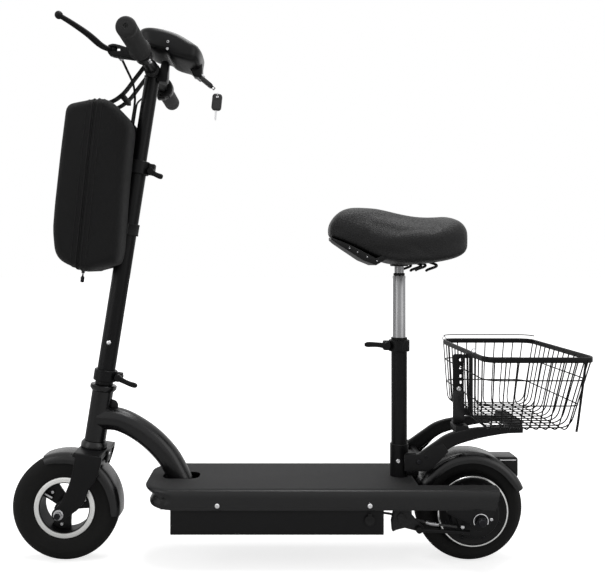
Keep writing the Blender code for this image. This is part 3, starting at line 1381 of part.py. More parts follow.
def basket_bracket(wall_x):
    """The upright frame that grips the basket's front wall and stands on the rack."""
    low_y, high_y = bracket_y - bracket_wall / 2, bracket_y + bracket_wall / 2
    rear_x = bracket_front_x - bracket_width
    foot = rack_plate_top + fit
    strip = block((rear_x, low_y, foot), (bracket_front_x, high_y, 0.3945))
    body = finish("basket_bracket", strip, black_paint, scooter)
    inside = wall_x - basket_front_taper - 0.0035
    upright = block((inside - 0.0070, low_y, basket_bottom + 0.0060), (inside, high_y, 0.3945))
    weld(body, finish("bracket_upright", upright, black_paint, scooter))
    for low, high in ((0.2790, 0.2920), (0.3870, 0.3940)):
        link = block((inside - 0.0010, low_y + 0.0003, low), (rear_x + 0.0010, high_y - 0.0003, high))
        weld(body, finish("bracket_link", link, black_paint, scooter))
    flange = block((rear_x + 0.0010, low_y - 0.0140, foot), (bracket_front_x - 0.0010, low_y + 0.0010, foot + 0.0035))
    weld(body, finish("bracket_foot", flange, black_paint, scooter))
    for z in bracket_holes:
        hole = rod(0.0028, -0.01, 0.01, sides=6)
        cut(body, finish("bracket_hole", hole, black_paint, scooter, (rear_x + 0.0060, bracket_y, z), along_y))
    for x, z in bracket_bolts:
        shape = bolt(0.0050, 0.0030, 0.0020, 0.0030)
        weld(body, finish("bracket_bolt", shape, black_paint, scooter, (x, high_y, z), (-pi / 2, 0, 0)))
    return body


# Side outline of the stand's bracket: (forwards, up)
stand_bracket_outline = [
    (-0.1944, 0.1250), (-0.1944, 0.1086), (-0.1907, 0.0902), (-0.1926, 0.0718), (-0.2000, 0.0754),
    (-0.2147, 0.0791), (-0.2331, 0.0745), (-0.2460, 0.0700), (-0.2525, 0.0736), (-0.2516, 0.0791),
    (-0.2405, 0.0893), (-0.2285, 0.1031), (-0.2276, 0.1250),
]


def kickstand():
    """The bracket below the deck and the folding leg, folded back."""
    low = stand_y - stand_bracket_width / 2
    high = stand_y + stand_bracket_width / 2
    body = finish("stand_bracket", slab(stand_bracket_outline, "Y", low, high), black_paint, scooter)
    pivot = (-0.2400, 0, 0.0790)
    bore = round_hole(0.0030, -0.03, 0.03, 8)
    cut(body, finish("stand_bore", bore, black_paint, scooter, (pivot[0], stand_y, pivot[2]), along_y))
    weld(bpy.data.objects["deck"], body)
    hinge = add_empty("kickstand_hinge", scooter, (pivot[0], high + fit, pivot[2]))
    knuckle = rod(0.0065, 0, 0.0110, 0, 10)
    leg = finish("kickstand", moved(knuckle, turn=along_y), black_paint, hinge)
    pin = rod(0.0030, -stand_bracket_width - 0.0010, 0.0010)
    weld(leg, finish("stand_pin", moved(pin, turn=along_y), black_paint, hinge))
    middle = 0.0055
    path = [Vector((0, middle, -0.0010)), Vector((-0.0200, middle, -0.0018)),
            Vector((-stand_length * 0.7, middle, -0.0040)), Vector((-stand_length, middle + 0.0020, -0.0050))]
    weld(leg, finish("stand_rod", swept(path, circle(stand_rod_radius, 8)), black_paint, hinge))
    return leg


# Side outline of the bag round its centre: (forwards, up)
bag_outline = [
    (0.0591, 0.1441), (0.0037, 0.1610), (-0.0147, 0.1610), (-0.0301, 0.1535), (-0.0567, 0.1286), (-0.0640, 0.1110),
    (-0.0645, 0.0061), (-0.0681, -0.1130), (-0.0660, -0.1353), (-0.0612, -0.1423), (-0.0221, -0.1547),
    (-0.0079, -0.1607), (0.0070, -0.1578), (0.0395, -0.1464), (0.0522, -0.1312), (0.0603, -0.0897),
    (0.0614, -0.0439), (0.0609, 0.0574),
]


def bag_solid(name, parent, shrink):
    """The bag's whole form, made smaller all round by some thickness."""
    long = bag_height / 0.3217
    deep = bag_depth / 0.1300
    half = bag_width / 2 - shrink
    loops = []
    for y, share in ((-1, 0.76), (-0.93, 0.92), (-0.74, 1.0), (0.74, 1.0), (0.93, 0.92), (1, 0.76)):
        forward = deep * (share - shrink / 0.062)
        up = long * (1 - (1 - share) * 0.4 - shrink / 0.155)
        loops.append([(a * forward, y * half, c * up) for a, c in bag_outline])
    return finish(name, stacked(loops), fabric, parent, sharp=50)


def bag():
    """The zipped bag: a rear shell on the stem and a front shell that opens."""
    place = Vector((0.1054, 0, -0.2241))
    frame = add_empty("bag_frame", stem_slide, place, (0, -bag_lean, 0))
    seam = bag_seam_forward
    rear = bag_solid("bag_rear_shell", frame, 0)
    cut(rear, finish("bag_front_half", block((seam, -0.2, -0.3), (0.2, 0.2, 0.3)), fabric, frame))
    lean = steering_lean - bag_lean
    stem_x = -place.length * sin(atan2(place.x, -place.z) - bag_lean)
    along = place.length * cos(atan2(place.x, -place.z) - bag_lean)
    channel = bag_channel_radius
    at_bar = (stem_x, 0, along)
    guard = rod(channel + bag_wall, -0.45, 0.1, sides=10)
    cord_low = -cord_end_drop - 0.0040
    cord_guard = block((0, -cord_groove_half - bag_wall, cord_low - bag_wall),
                       (cord_groove_forward + bag_wall, cord_groove_half + bag_wall, 0.1))
    room = bag_solid("bag_room", frame, bag_wall)
    cut(room, finish("stem_guard", guard, fabric, frame, at_bar, (0, -lean, 0)),
        finish("cord_guard", cord_guard, fabric, frame, at_bar, (0, -lean, 0)))
    cut(rear, room)
    groove = rod(across(channel, 10), -0.45, 0.1, sides=10)
    cord_groove = block((0, -cord_groove_half, cord_low), (cord_groove_forward, cord_groove_half, 0.1))
    cut(rear, finish("stem_channel", groove, fabric, frame, at_bar, (0, -lean, 0)),
        finish("cord_groove", cord_groove, fabric, frame, at_bar, (0, -lean, 0)))
    lid_axis = Vector((seam + fit / 2, -bag_width / 2, 0))
    hinge = add_empty("bag_lid_hinge", frame, lid_axis)
    lid_frame = add_empty("bag_lid", hinge, -lid_axis)
    front = bag_solid("bag_front_shell", lid_frame, 0)
    cut(front, finish("bag_rear_half", block((-0.2, -0.2, -0.3), (seam + fit, 0.2, 0.3)), fabric, lid_frame))
    cut(front, bag_solid("lid_room", lid_frame, bag_wall))
    base = -0.1607 * bag_height / 0.3217
    slider = block((seam - 0.0050, 0.0465, base - 0.0032), (seam - 0.0002, 0.0535, base + 0.0015))
    weld(rear, finish("zip_slider", slider, fabric, frame))
    pull = add_empty("zip_pull_hinge", frame, (seam - 0.0026, 0.0500, base - 0.0032 - 0.0010 - fit))
    tag = slab(arc((0, 0), 0.0010, 0, 180, 4) + [(-0.0012, -0.0040), (-0.0034, -0.0060), (-0.0034, -0.0140),
                                                 (-0.0020, -0.0160), (0.0020, -0.0160), (0.0034, -0.0140),
                                                 (0.0034, -0.0060), (0.0012, -0.0040)], "Y", -0.0011, 0.0011)
    finish("zip_pull", tag, black_plastic, pull)
    hoop_low = 0.5410 - bar_height
    inner = (lower_stem_radius + 2 * fit) * cos(pi / 14)
    hoop = ring(inner + 0.0025, inner, hoop_low - 0.0110, hoop_low + 0.0110, sides=14)
    weld(rear, finish("strap_hoop", hoop, fabric, stem_slide, turn=(0, -steering_lean, 0)))
    for side in (1, -1):
        low_y, high_y = sorted((side * (inner + 0.0010), side * (channel + 0.0020)))
        tab = block((-0.0030, low_y, hoop_low - 0.0100), (0.0030, high_y, hoop_low + 0.0100))
        weld(rear, finish("strap_tab", tab, fabric, stem_slide, turn=(0, -steering_lean, 0)))
    straps()


def straps():
    """Webbing from the bag's top up to the bar."""
    path = smooth_path([(0.0125, 0, 0.0030), (0.0300, 0, -0.0200), (0.0520, 0, -0.0480),
                        (0.0740, 0, -0.0632), (0.0900, 0, -0.0633)], 5)
    half, thin = strap_width / 2, strap_thickness / 2
    body = None
    for y in (-strap_y, strap_y):
        strip = swept([point + Vector((0, y, 0)) for point in path],
                      [(-half, -thin), (half, -thin), (half, thin), (-half, thin)])
        hoop = ring(bar_radius + 0.0024, bar_radius + fit, y - half, y + half, sides=10)
        tools = [finish("bag_strip", strip, fabric, stem_slide),
                 finish("bag_hoop", moved(hoop, turn=along_y), fabric, stem_slide)]
        if body is None:
            body = finish("bag_upper_strap", block((0.0500, -strap_y - 0.006, -0.0560), (0.0560, strap_y + 0.006,
                                                                                   -0.0500)), fabric, stem_slide)
        weld(body, *tools)
    return body


def cables():
    """Cords on the handlebar and those of the frame."""
    y = brake_lever_y

    def by_stem(drop, side, forward=cord_forward):
        """A point in front of the stem, so far below the bar along its axis."""
        return (drop * sin(steering_lean) + forward * cos(steering_lean), side,
                -drop * cos(steering_lean) + forward * sin(steering_lean))

    cable("brake_cable", [(0.0420, y - 0.0250, -0.0010), (0.0400, y - 0.0450, -0.0080), (0.0310, 0.0450, -0.0330),
                          by_stem(0.0560, cord_side * 2), by_stem(0.0730, cord_side),
                          by_stem(0.0900, cord_side), by_stem(cord_end_drop, cord_side)],
          brake_cord_radius, 12, rubber, stem_slide)
    y = -throttle_inner
    cable("throttle_cable", [(0.0060, y + 0.0009, -0.0160), (0.0100, y + 0.0307, -0.0260), (0.0230, -0.0450, -0.0380),
                             by_stem(0.0590, -cord_side * 2), by_stem(0.0730, -cord_side),
                             by_stem(0.0900, -cord_side), by_stem(cord_end_drop, -cord_side)],
          throttle_cord_radius, 11, rubber, stem_slide)
    back = Vector((-cos(steering_lean), 0, -sin(steering_lean)))
    start = on_steering_axis(cable_exit_height) + back * (head_tube_radius + fit)
    cable("neck_cable", [start, start + back * 0.0035, (0.3290, 0, 0.2980), (0.3268, 0, 0.2935), (0.3272, 0, 0.2882)],
          0.0018, 5, rubber, scooter)
    start = (box_rear_x - fit, 0.0460, 0.1000)
    cable("rear_brake_cable", [start, (box_rear_x - 0.0100, 0.0460, 0.1000), (-0.2100, 0.0460, 0.0950),
                               (-0.2450, 0.0480, 0.0870), (-0.2650, 0.0560, 0.0838), (-0.2900, 0.0635, 0.0832),
                               (-0.3105, 0.0680, 0.0822)], 0.0022, 12, rubber, scooter)


neck_and_deck()
stem_tubes()
stem_clamps()
stem_button()
fork()
front_rim()
front_axle_parts()
tyre("front_tyre", front_axle_centre, front_bead_diameter, rim_flange_height)
handlebar()
grips_and_throttle()
brake_lever()
display()
rear_wheel()
rear_axle()
rear_brake()
fender("front_fender", front_axle_centre, front_fender_radius, front_fender_half_width, 68, 188, 10)
rear_fender_start = degrees(acos((deck_rear_x - fit - rear_axle_x) / rear_fender_radius))
fender("rear_fender", rear_axle_centre, rear_fender_radius, rear_fender_half_width, rear_fender_start, 158, 11)
tail_light()
rack()
seat_post_parts()
saddle()
basket()
kickstand()
bag()
cables()
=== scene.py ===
# %% [markdown]
# # An electric scooter with a seat, a wire basket and a bag
# The scooter's solids come from its CAD model, in metres, and this notebook dresses them.
# Each step below takes one piece of the real scooter, says what it is made of, and builds
# it over the solid that it replaces, so that nothing moves from its place.

# %% Load the frame
import json
from math import acos, atan2, cos, degrees, pi, radians, sin

import bpy
from mathutils import Matrix, Vector

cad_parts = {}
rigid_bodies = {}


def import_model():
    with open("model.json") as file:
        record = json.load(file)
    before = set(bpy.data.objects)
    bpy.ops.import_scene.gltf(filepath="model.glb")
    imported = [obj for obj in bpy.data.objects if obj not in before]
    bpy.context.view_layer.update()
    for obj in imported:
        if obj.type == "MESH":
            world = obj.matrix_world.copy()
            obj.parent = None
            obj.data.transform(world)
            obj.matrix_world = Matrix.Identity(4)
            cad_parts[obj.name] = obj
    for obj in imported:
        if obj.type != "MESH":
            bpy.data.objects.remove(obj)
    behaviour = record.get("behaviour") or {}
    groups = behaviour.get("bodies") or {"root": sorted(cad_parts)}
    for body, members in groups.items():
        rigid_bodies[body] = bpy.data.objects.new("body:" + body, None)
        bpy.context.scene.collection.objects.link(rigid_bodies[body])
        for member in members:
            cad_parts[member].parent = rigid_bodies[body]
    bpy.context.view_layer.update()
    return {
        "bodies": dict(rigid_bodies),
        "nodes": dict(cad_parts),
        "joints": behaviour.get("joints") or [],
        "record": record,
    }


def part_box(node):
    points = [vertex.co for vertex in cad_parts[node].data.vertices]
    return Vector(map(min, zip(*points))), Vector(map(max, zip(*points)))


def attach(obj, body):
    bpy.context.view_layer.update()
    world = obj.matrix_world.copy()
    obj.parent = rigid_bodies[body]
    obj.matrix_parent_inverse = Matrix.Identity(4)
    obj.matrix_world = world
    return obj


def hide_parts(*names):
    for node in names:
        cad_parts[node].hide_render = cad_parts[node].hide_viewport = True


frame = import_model()
nodes = frame["nodes"]
joints = {joint["name"]: joint for joint in frame["joints"]}


# %% [markdown]
# ## Where things are
# The record gives every joint's place, so wheels, stem, bar and bag are all measured from
# those points. Most of the front end leans back with the steering axis. A piece of it is
# modelled upright about the origin, where its numbers are round ones, and then stood in
# its frame with one matrix.

# %% Frames of reference
def pivot(name):
    """A joint's point in the world."""
    return Vector(joints[name]["pos_m"])


def mm(*points):
    """Points written in millimetres, as metres."""
    return [tuple(value / 1000 for value in point) for point in points]


def moved(*offset):
    """The matrix of a plain move."""
    return Matrix.Translation(offset)


def turn(angle, axis):
    """The matrix of a turn, in degrees."""
    return Matrix.Rotation(radians(angle), 4, axis)


front_axle = pivot("front_wheel_spin")
rear_axle = pivot("rear_wheel_spin")
bar_centre = pivot("throttle_twist")
steering_up = Vector(joints["steering"]["axis"]).normalized()
steering_lean = atan2(-steering_up.x, steering_up.z)
head_point = pivot("steering")
steering_foot = head_point + steering_up * (front_axle - head_point).dot(steering_up)
stem_turn = Matrix.Rotation(-steering_lean, 4, "Y")
steering_frame = moved(*steering_foot) @ stem_turn
bar_frame = moved(*bar_centre)
bag_lean = radians(6)
bag_centre = bar_centre + Vector((0.1054, 0, -0.2241))
bag_frame = moved(*bag_centre) @ Matrix.Rotation(-bag_lean, 4, "Y")
wheel_radius = front_axle.z
seat_low, seat_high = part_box("seat_tube")
seat_x = (seat_low[0] + seat_high[0]) / 2
seat_tube_top = seat_high[2]
# The side view was measured with the rear axle at -0.3465, so its points move by this much
shift_x = rear_axle.x + 0.3465


def shifted(points):
    """Points of the side view, moved to where the frame has its rear axle."""
    return [(x + shift_x, *rest) for x, *rest in points]


# Z laid along the axle, towards the left side
across_axle = turn(-90, "X")
front_hub = moved(*front_axle) @ across_axle
rear_hub = moved(*rear_axle) @ across_axle
print("steering leans", round(degrees(steering_lean), 2), "degrees")
print("wheelbase", round(front_axle.x - rear_axle.x, 4), "m")


# %% [markdown]
# ## The camera
# The photograph looks straight across the scooter from its left, and the stem, the seat
# post and the deck keep their true angles in it. That is a camera whose picture plane is
# parallel to the scooter, moved off centre with lens shift and not by turning it.

# %% Camera
photo_width = 605
photo_height = 580
focal_pixels = 754
vanishing_x = 270
vanishing_y = 265
camera_distance = 1.45
camera_height = 0.562
camera_x = 0.0335

bpy.ops.object.select_all(action="DESELECT")
bpy.ops.object.camera_add(location=(camera_x, camera_distance, camera_height), rotation=(pi / 2, 0, pi))
camera = bpy.context.object
camera.name = "camera"
camera.data.lens = focal_pixels / photo_width * camera.data.sensor_width
camera.data.shift_x = (photo_width / 2 - vanishing_x) / photo_width
camera.data.shift_y = (vanishing_y - photo_height / 2) / photo_width
bpy.context.scene.camera = camera
bpy.context.scene.view_settings.view_transform = "Standard"
print("lens", round(camera.data.lens, 1), "mm")


# %% [markdown]
# ## Shader maths
# A finish such as powder coat or vinyl is a few noise patterns, mixed. Written node by
# node that is hard to read, so `Wire` wraps one output socket and turns + - * / into Math
# nodes, and `Finish` holds a material and adds any other node with one method.

# %% A small language for materials
class Wire:
    """One output of a node, used like a number."""

    def __init__(self, finish, socket):
        self.finish = finish
        self.socket = socket

    def maths(self, operation, first, second):
        return self.finish.node("Math", {"operation": operation}, {0: first, 1: second})

    def __add__(self, other):
        return self.maths("ADD", self, other)

    def __sub__(self, other):
        return self.maths("SUBTRACT", self, other)

    def __mul__(self, other):
        return self.maths("MULTIPLY", self, other)

    def __truediv__(self, other):
        return self.maths("DIVIDE", self, other)

    def __radd__(self, other):
        return self.maths("ADD", other, self)

    def __rsub__(self, other):
        return self.maths("SUBTRACT", other, self)

    def __rmul__(self, other):
        return self.maths("MULTIPLY", other, self)

    def above(self, other):
        return self.maths("GREATER_THAN", self, other)

    def power(self, other):
        return self.maths("POWER", self, other)


class Finish:
    """A material built on one Principled shader."""

    def __init__(self, name, colour, roughness, metallic=0.0, **uniform):
        self.material = bpy.data.materials.new(name)
        self.material.use_nodes = True
        self.tree = self.material.node_tree
        self.shader = self.tree.nodes["Principled BSDF"]
        self.shader.inputs["Base Color"].default_value = (*colour, 1)
        self.shader.inputs["Roughness"].default_value = roughness
        self.shader.inputs["Metallic"].default_value = metallic
        for socket, value in uniform.items():
            self.shader.inputs[socket.replace("_", " ")].default_value = value
        self.colour = colour
        self.place = self.node("TexCoord", {}, {}, "Object")

    def node(self, kind, settings, inputs, output=0):
        """Adds a node, sets it up, feeds its sockets and gives one output."""
        fresh = self.tree.nodes.new("ShaderNode" + kind)
        for setting, value in settings.items():
            setattr(fresh, setting, value)
        for socket, value in inputs.items():
            if isinstance(value, Wire):
                self.tree.links.new(value.socket, fresh.inputs[socket])
            else:
                fresh.inputs[socket].default_value = value
        return Wire(self, fresh.outputs[output])

    def noise(self, scale, detail=2.0, place=None):
        return self.node(
            "TexNoise", {}, {"Vector": place or self.place, "Scale": scale, "Detail": detail}, "Fac")

    def cells(self, scale, feature="F1", output="Distance", place=None):
        return self.node(
            "TexVoronoi", {"feature": feature}, {"Vector": place or self.place, "Scale": scale}, output)

    def between(self, mask, low, high):
        """A number that runs from low to high with the mask."""
        return low + mask * (high - low)

    def blend(self, mask, first, second):
        """A colour that runs from the first to the second with the mask."""
        return self.node("Mix", {"data_type": "RGBA"}, {0: mask, 6: (*first, 1), 7: (*second, 1)}, 2)

    def stretched(self, scale):
        return self.node("Mapping", {}, {"Vector": self.place, "Scale": scale})

    def axis(self, letter, place=None):
        return self.node("SeparateXYZ", {}, {"Vector": place or self.place}, letter)

    def feed(self, socket, wire):
        self.tree.links.new(wire.socket, self.shader.inputs[socket])

    def bump(self, height, depth, strength=1.0):
        """Raises the surface by the height, a number from 0 to 1, times a depth in metres."""
        normal = self.node(
            "Bump", {}, {"Height": height, "Distance": depth, "Strength": strength}, "Normal")
        self.feed("Normal", normal)


def shaded(colour, factor):
    """The same colour, lighter or darker."""
    return tuple(min(channel * factor, 1.0) for channel in colour)


# %% [markdown]
# ## Paint on steel and aluminium
# The frame is powder coated: a thick black skin with a faint orange peel, a little shine
# on its crowns and slightly duller where it has been handled. Two noises do it, a fine
# one for the peel and a broad one for the shine. The deck's coat is a rougher grey-black
# with grip grit on the faces that look up, and there its colour is also painted lighter,
# as painted light from above.

# %% Powder coats
def powder_coat(name, colour, roughness, grain, depth, specular=0.16):
    coat = Finish(name, colour, roughness, Specular_IOR_Level=specular)
    broad = coat.noise(14, 3)
    peel = coat.noise(grain, 3)
    coat.feed("Base Color", coat.blend(broad, shaded(colour, 0.8), shaded(colour, 1.25)))
    coat.feed("Roughness", coat.between(broad, roughness - 0.06, roughness + 0.08))
    coat.bump(peel, depth)
    return coat.material


black_coat = powder_coat("black_powder_coat", (0.0045, 0.0045, 0.0048), 0.34, 650, 0.00025)
gloss_coat = powder_coat("glossy_black_coat", (0.0045, 0.0045, 0.0048), 0.2, 500, 0.0002, 0.35)
satin_coat = powder_coat("satin_black_coat", (0.0055, 0.0055, 0.0058), 0.45, 900, 0.0003)


def grip_coat():
    """Deck paint with fine grains of grit on the surface that faces up, whose colour is also painted
    lighter there: painted light from above.
    """
    colour = (0.0085, 0.0085, 0.0088)
    coat = Finish("deck_grip_coat", colour, 0.5, Specular_IOR_Level=0.3)
    facing = coat.axis("Z", coat.node("NewGeometry", {}, {}, "Normal"))
    top = facing.above(0.8)
    grit = coat.noise(1500, 2)
    cloud = coat.noise(16, 4)
    plain = coat.blend(cloud * 0.5 + grit * 0.5, shaded(colour, 0.8), shaded(colour, 1.3))
    # Up-facing faces get a lighter colour: the grip's grit, and painted light from above
    grit_and_painted_top_light = coat.blend(cloud * 0.5 + grit * 0.5, shaded(colour, 1.0), shaded(colour, 2.0))
    coat.feed("Base Color", coat.node("Mix", {"data_type": "RGBA"}, {0: top, 6: plain, 7: grit_and_painted_top_light}, 2))
    coat.feed("Roughness", coat.between(top, 0.27, 0.75))
    coat.bump(grit * coat.between(top, 0.25, 1.0), 0.0006)
    return coat.material


def cast_finish():
    """Painted sand casting: lumpy, and paler on its high spots."""
    colour = (0.017, 0.017, 0.0175)
    cast = Finish("cast_aluminium_painted", colour, 0.6, Specular_IOR_Level=0.18)
    lumps = cast.noise(260, 4)
    cast.feed("Base Color", cast.blend(lumps, shaded(colour, 0.35), shaded(colour, 2.2)))
    cast.feed("Roughness", cast.between(lumps, 0.5, 0.75))
    cast.bump(lumps, 0.0012)
    return cast.material


deck_coat = grip_coat()
cast_metal = cast_finish()
print("coats:", black_coat.name, satin_coat.name, deck_coat.name)


# %% [markdown]
# ## Plastic and rubber
# Moulded parts have a spark-eroded grain, which is a cell pattern some 0.5 mm across, and
# the fenders are polished over it. Tyres are duller and a touch lighter where dust sits on
# the tread. Grips are soft rubber, the lightest black on the scooter, and the twist grip is
# the lighter one of the two.

# %% Moulded finishes
def moulded(name, colour, roughness, scale, depth, specular=0.4):
    skin = Finish(name, colour, roughness, Specular_IOR_Level=specular)
    grain = skin.cells(scale, "SMOOTH_F1")
    broad = skin.noise(20, 3)
    skin.feed("Base Color", skin.blend(broad, shaded(colour, 0.75), shaded(colour, 1.3)))
    skin.feed("Roughness", skin.between(broad, roughness - 0.05, roughness + 0.07))
    skin.bump(grain, depth)
    return skin.material


black_plastic = moulded("grained_black_plastic", (0.006, 0.006, 0.0063), 0.38, 1400, 0.0002, 0.18)
housing_plastic = moulded("smooth_black_plastic", (0.005, 0.005, 0.0053), 0.3, 1800, 0.00008, 0.2)
grip_rubber = moulded("grip_rubber", (0.022, 0.022, 0.022), 0.62, 1100, 0.0003, 0.2)
fender_plastic = moulded("polished_black_plastic", (0.0055, 0.0055, 0.0058), 0.2, 1400, 0.0001, 0.4)
pale_rubber = moulded("pale_grip_rubber", (0.05, 0.05, 0.051), 0.62, 1100, 0.0003, 0.2)
grey_sheath = moulded("grey_sheath", (0.075, 0.075, 0.075), 0.45, 2000, 0.0001, 0.3)
cable_rubber = moulded("cable_rubber", (0.006, 0.006, 0.006), 0.5, 2000, 0.0001, 0.2)


def tyre_rubber():
    colour = (0.0065, 0.0064, 0.0062)
    rubber = Finish("tyre_rubber", colour, 0.68, Specular_IOR_Level=0.15)
    dust = rubber.noise(35, 4)
    fine = rubber.noise(420, 3)
    rubber.feed(
        "Base Color", rubber.blend(dust * 0.6 + fine * 0.4, shaded(colour, 0.7), shaded(colour, 1.7)))
    rubber.feed("Roughness", rubber.between(dust, 0.58, 0.8))
    rubber.bump(fine, 0.0004)
    return rubber.material


tyre_black = tyre_rubber()
print("moulded:", black_plastic.name, grip_rubber.name, tyre_black.name)


# %% [markdown]
# ## Bare metal
# The rim lip is turned on a lathe and polished, so its scratches run round the wheel. The
# seat post is drawn tube with scratches along it, and the nuts are zinc plated and dull.
# Stretching one noise far along a direction gives such scratches.

# %% Metals
def scratched(name, colour, roughness, stretch, depth=0.0001):
    metal = Finish(name, colour, roughness, 1.0)
    lines = metal.noise(1.0, 4, metal.stretched(stretch))
    stain = metal.noise(30, 3)
    metal.feed("Base Color", metal.blend(stain, shaded(colour, 0.86), shaded(colour, 1.08)))
    metal.feed("Roughness", metal.between(lines, roughness - 0.09, roughness + 0.12))
    metal.bump(lines, depth)
    return metal.material


post_metal = scratched("drawn_aluminium", (0.27, 0.27, 0.275), 0.32, (900, 900, 30))
zinc = scratched("zinc_plate", (0.55, 0.55, 0.56), 0.34, (300, 300, 300))
dark_steel = scratched("blackened_steel", (0.022, 0.022, 0.024), 0.36, (300, 300, 300))
bright_steel = scratched("bright_steel", (0.72, 0.72, 0.73), 0.22, (400, 400, 400))


def lathe_turned(name, colour, roughness, centre):
    """Polished metal whose tool marks run round an axle."""
    metal = Finish(name, colour, roughness, 1.0)
    from_centre = metal.node("VectorMath", {"operation": "SUBTRACT"}, {0: metal.place, 1: tuple(centre)})
    flat = metal.node("VectorMath", {"operation": "MULTIPLY"}, {0: from_centre, 1: (1, 0, 1)})
    radius = metal.node("VectorMath", {"operation": "LENGTH"}, {0: flat}, "Value")
    marks = metal.node(
        "TexNoise", {"noise_dimensions": "1D"}, {"W": radius, "Scale": 2600.0, "Detail": 3.0}, "Fac")
    stain = metal.noise(40, 3)
    metal.feed("Base Color", metal.blend(stain, shaded(colour, 0.88), shaded(colour, 1.05)))
    metal.feed("Roughness", metal.between(marks, roughness - 0.08, roughness + 0.1))
    metal.bump(marks, 0.00006)
    return metal.material


rim_metal = lathe_turned("turned_rim_aluminium", (0.86, 0.86, 0.84), 0.28, front_axle)
ring_metal = lathe_turned("turned_ring_aluminium", (0.8, 0.8, 0.79), 0.24, rear_axle)
print("metals:", post_metal.name, zinc.name, rim_metal.name)


# %% [markdown]
# ## Vinyl, cloth and lenses
# The saddle's vinyl is printed with a fine leather grain and shines softly on its crown.
# The bag is woven nylon: two crossing waves of thread, some three to the millimetre,
# under a dull coating. The display's lens and the lamp's red cover are glossy plastic.

# %% Vinyl, cloth and glossy plastic
def leather_grain():
    colour = (0.008, 0.008, 0.0083)
    skin = Finish("saddle_vinyl", colour, 0.42, Specular_IOR_Level=0.22)
    cells = skin.cells(760, "F1")
    broad = skin.noise(22, 3)
    skin.feed("Base Color", skin.blend(broad, shaded(colour, 0.8), shaded(colour, 1.25)))
    skin.feed("Roughness", skin.between(broad, 0.36, 0.5))
    skin.bump(cells, 0.0005)
    return skin.material


def woven(name, colour, roughness, pitch, depth):
    """Cloth whose threads cross at the pitch, drawn along the object's axes."""
    cloth = Finish(name, colour, roughness, Specular_IOR_Level=0.18, Sheen_Weight=0.06)
    waves = []
    for letter in "XYZ":
        turns = cloth.axis(letter) * (2 * pi / pitch)
        waves.append(cloth.node("Math", {"operation": "SINE"}, {0: turns}))
    weave = (waves[0] * waves[2] + waves[1] * waves[2] + waves[0] * waves[1]) * 0.25 + 0.5
    broad = cloth.noise(12, 3)
    fibre = cloth.noise(900, 2)
    cloth.feed(
        "Base Color", cloth.blend(broad * 0.6 + fibre * 0.4, shaded(colour, 0.7), shaded(colour, 1.35)))
    cloth.feed("Roughness", cloth.between(broad, roughness - 0.06, roughness + 0.08))
    cloth.bump(weave * 0.7 + fibre * 0.3, depth)
    return cloth.material


def glossy(name, colour, roughness):
    """Smooth plastic with a few faint smears."""
    skin = Finish(name, colour, roughness)
    smears = skin.noise(28, 4)
    skin.feed("Base Color", skin.blend(smears, shaded(colour, 0.9), shaded(colour, 1.1)))
    skin.feed("Roughness", skin.between(smears, roughness - 0.03, roughness + 0.08))
    return skin.material


saddle_vinyl = leather_grain()
bag_cloth = woven("bag_cloth", (0.0065, 0.0065, 0.0067), 0.78, 0.0009, 0.0004)
webbing = woven("black_webbing", (0.008, 0.008, 0.0083), 0.7, 0.0016, 0.0006)
lens_gloss = glossy("display_lens", (0.012, 0.012, 0.014), 0.14)
lamp_red = glossy("lamp_cover", (0.055, 0.003, 0.003), 0.2)
key_plastic = glossy("key_head_plastic", (0.009, 0.009, 0.0095), 0.35)
print("soft:", saddle_vinyl.name, bag_cloth.name, webbing.name)


# %% [markdown]
# ## Ways of making a piece
# A few moves make almost everything here, each one as it would be done by hand. A turned
# piece is a line of points spun round an axis. A plate is an outline that is filled and
# extruded. A block is a cube with rounded edges. A lofted piece is a grid bent into rings.
# A pipe is a curve with a round bevel. A bolt is a turned head with a recess in it. Holes
# are cut by taking one piece away from another.

# %% Select nothing, edit, and finish a piece
def clear_selection():
    if bpy.context.object and bpy.context.object.mode != "OBJECT":
        bpy.ops.object.mode_set(mode="OBJECT")
    bpy.ops.object.select_all(action="DESELECT")


def choose(*pieces):
    """Selects these pieces alone, the first one active."""
    clear_selection()
    for piece in pieces:
        piece.select_set(True)
    bpy.context.view_layer.objects.active = pieces[0]


def edit_all(piece):
    """Opens a piece in edit mode with everything selected."""
    choose(piece)
    bpy.ops.object.mode_set(mode="EDIT")
    bpy.ops.mesh.select_all(action="SELECT")
    return piece


def close_edit(piece):
    """Merges doubles, turns the faces outwards and goes back to object mode."""
    bpy.ops.mesh.select_all(action="SELECT")
    bpy.ops.mesh.remove_doubles(threshold=1e-6)
    bpy.ops.mesh.normals_make_consistent(inside=False)
    bpy.ops.object.mode_set(mode="OBJECT")
    return piece


def use(piece, kind, **settings):
    """Adds a modifier with its settings and applies it."""
    choose(piece)
    modifier = piece.modifiers.new(kind.lower(), kind)
    for name, value in settings.items():
        setattr(modifier, name, value)
    bpy.ops.object.modifier_apply(modifier=modifier.name)
    return piece


def softened(piece, width, segments=2, angle=35):
    """Rounds a piece's sharp edges."""
    return use(piece, "BEVEL", width=width, segments=segments, limit_method="ANGLE",
               angle_limit=radians(angle), use_clamp_overlap=True)


def cut_away(piece, *tools):
    """Takes the tools' forms out of a piece, and the tools out of the scene."""
    for tool in tools:
        use(piece, "BOOLEAN", operation="DIFFERENCE", object=tool, solver="EXACT")
        bpy.data.objects.remove(tool)
    return piece


def placed(piece, matrix):
    """Stands a piece in a frame, with its place put into its mesh."""
    piece.data.transform(matrix)
    if matrix.determinant() < 0:
        piece.data.flip_normals()
    return piece


def joined(*pieces):
    choose(*pieces)
    if len(pieces) > 1:
        bpy.ops.object.join()
    piece = bpy.context.object
    return piece


def copied(piece, matrix):
    """A copy with a mesh of its own, moved by a matrix."""
    twin = piece.copy()
    twin.data = piece.data.copy()
    bpy.context.collection.objects.link(twin)
    return placed(twin, matrix)


def mirrored(piece):
    """The piece's twin on the other side of the scooter."""
    return copied(piece, Matrix.Scale(-1, 4, (0, 1, 0)))


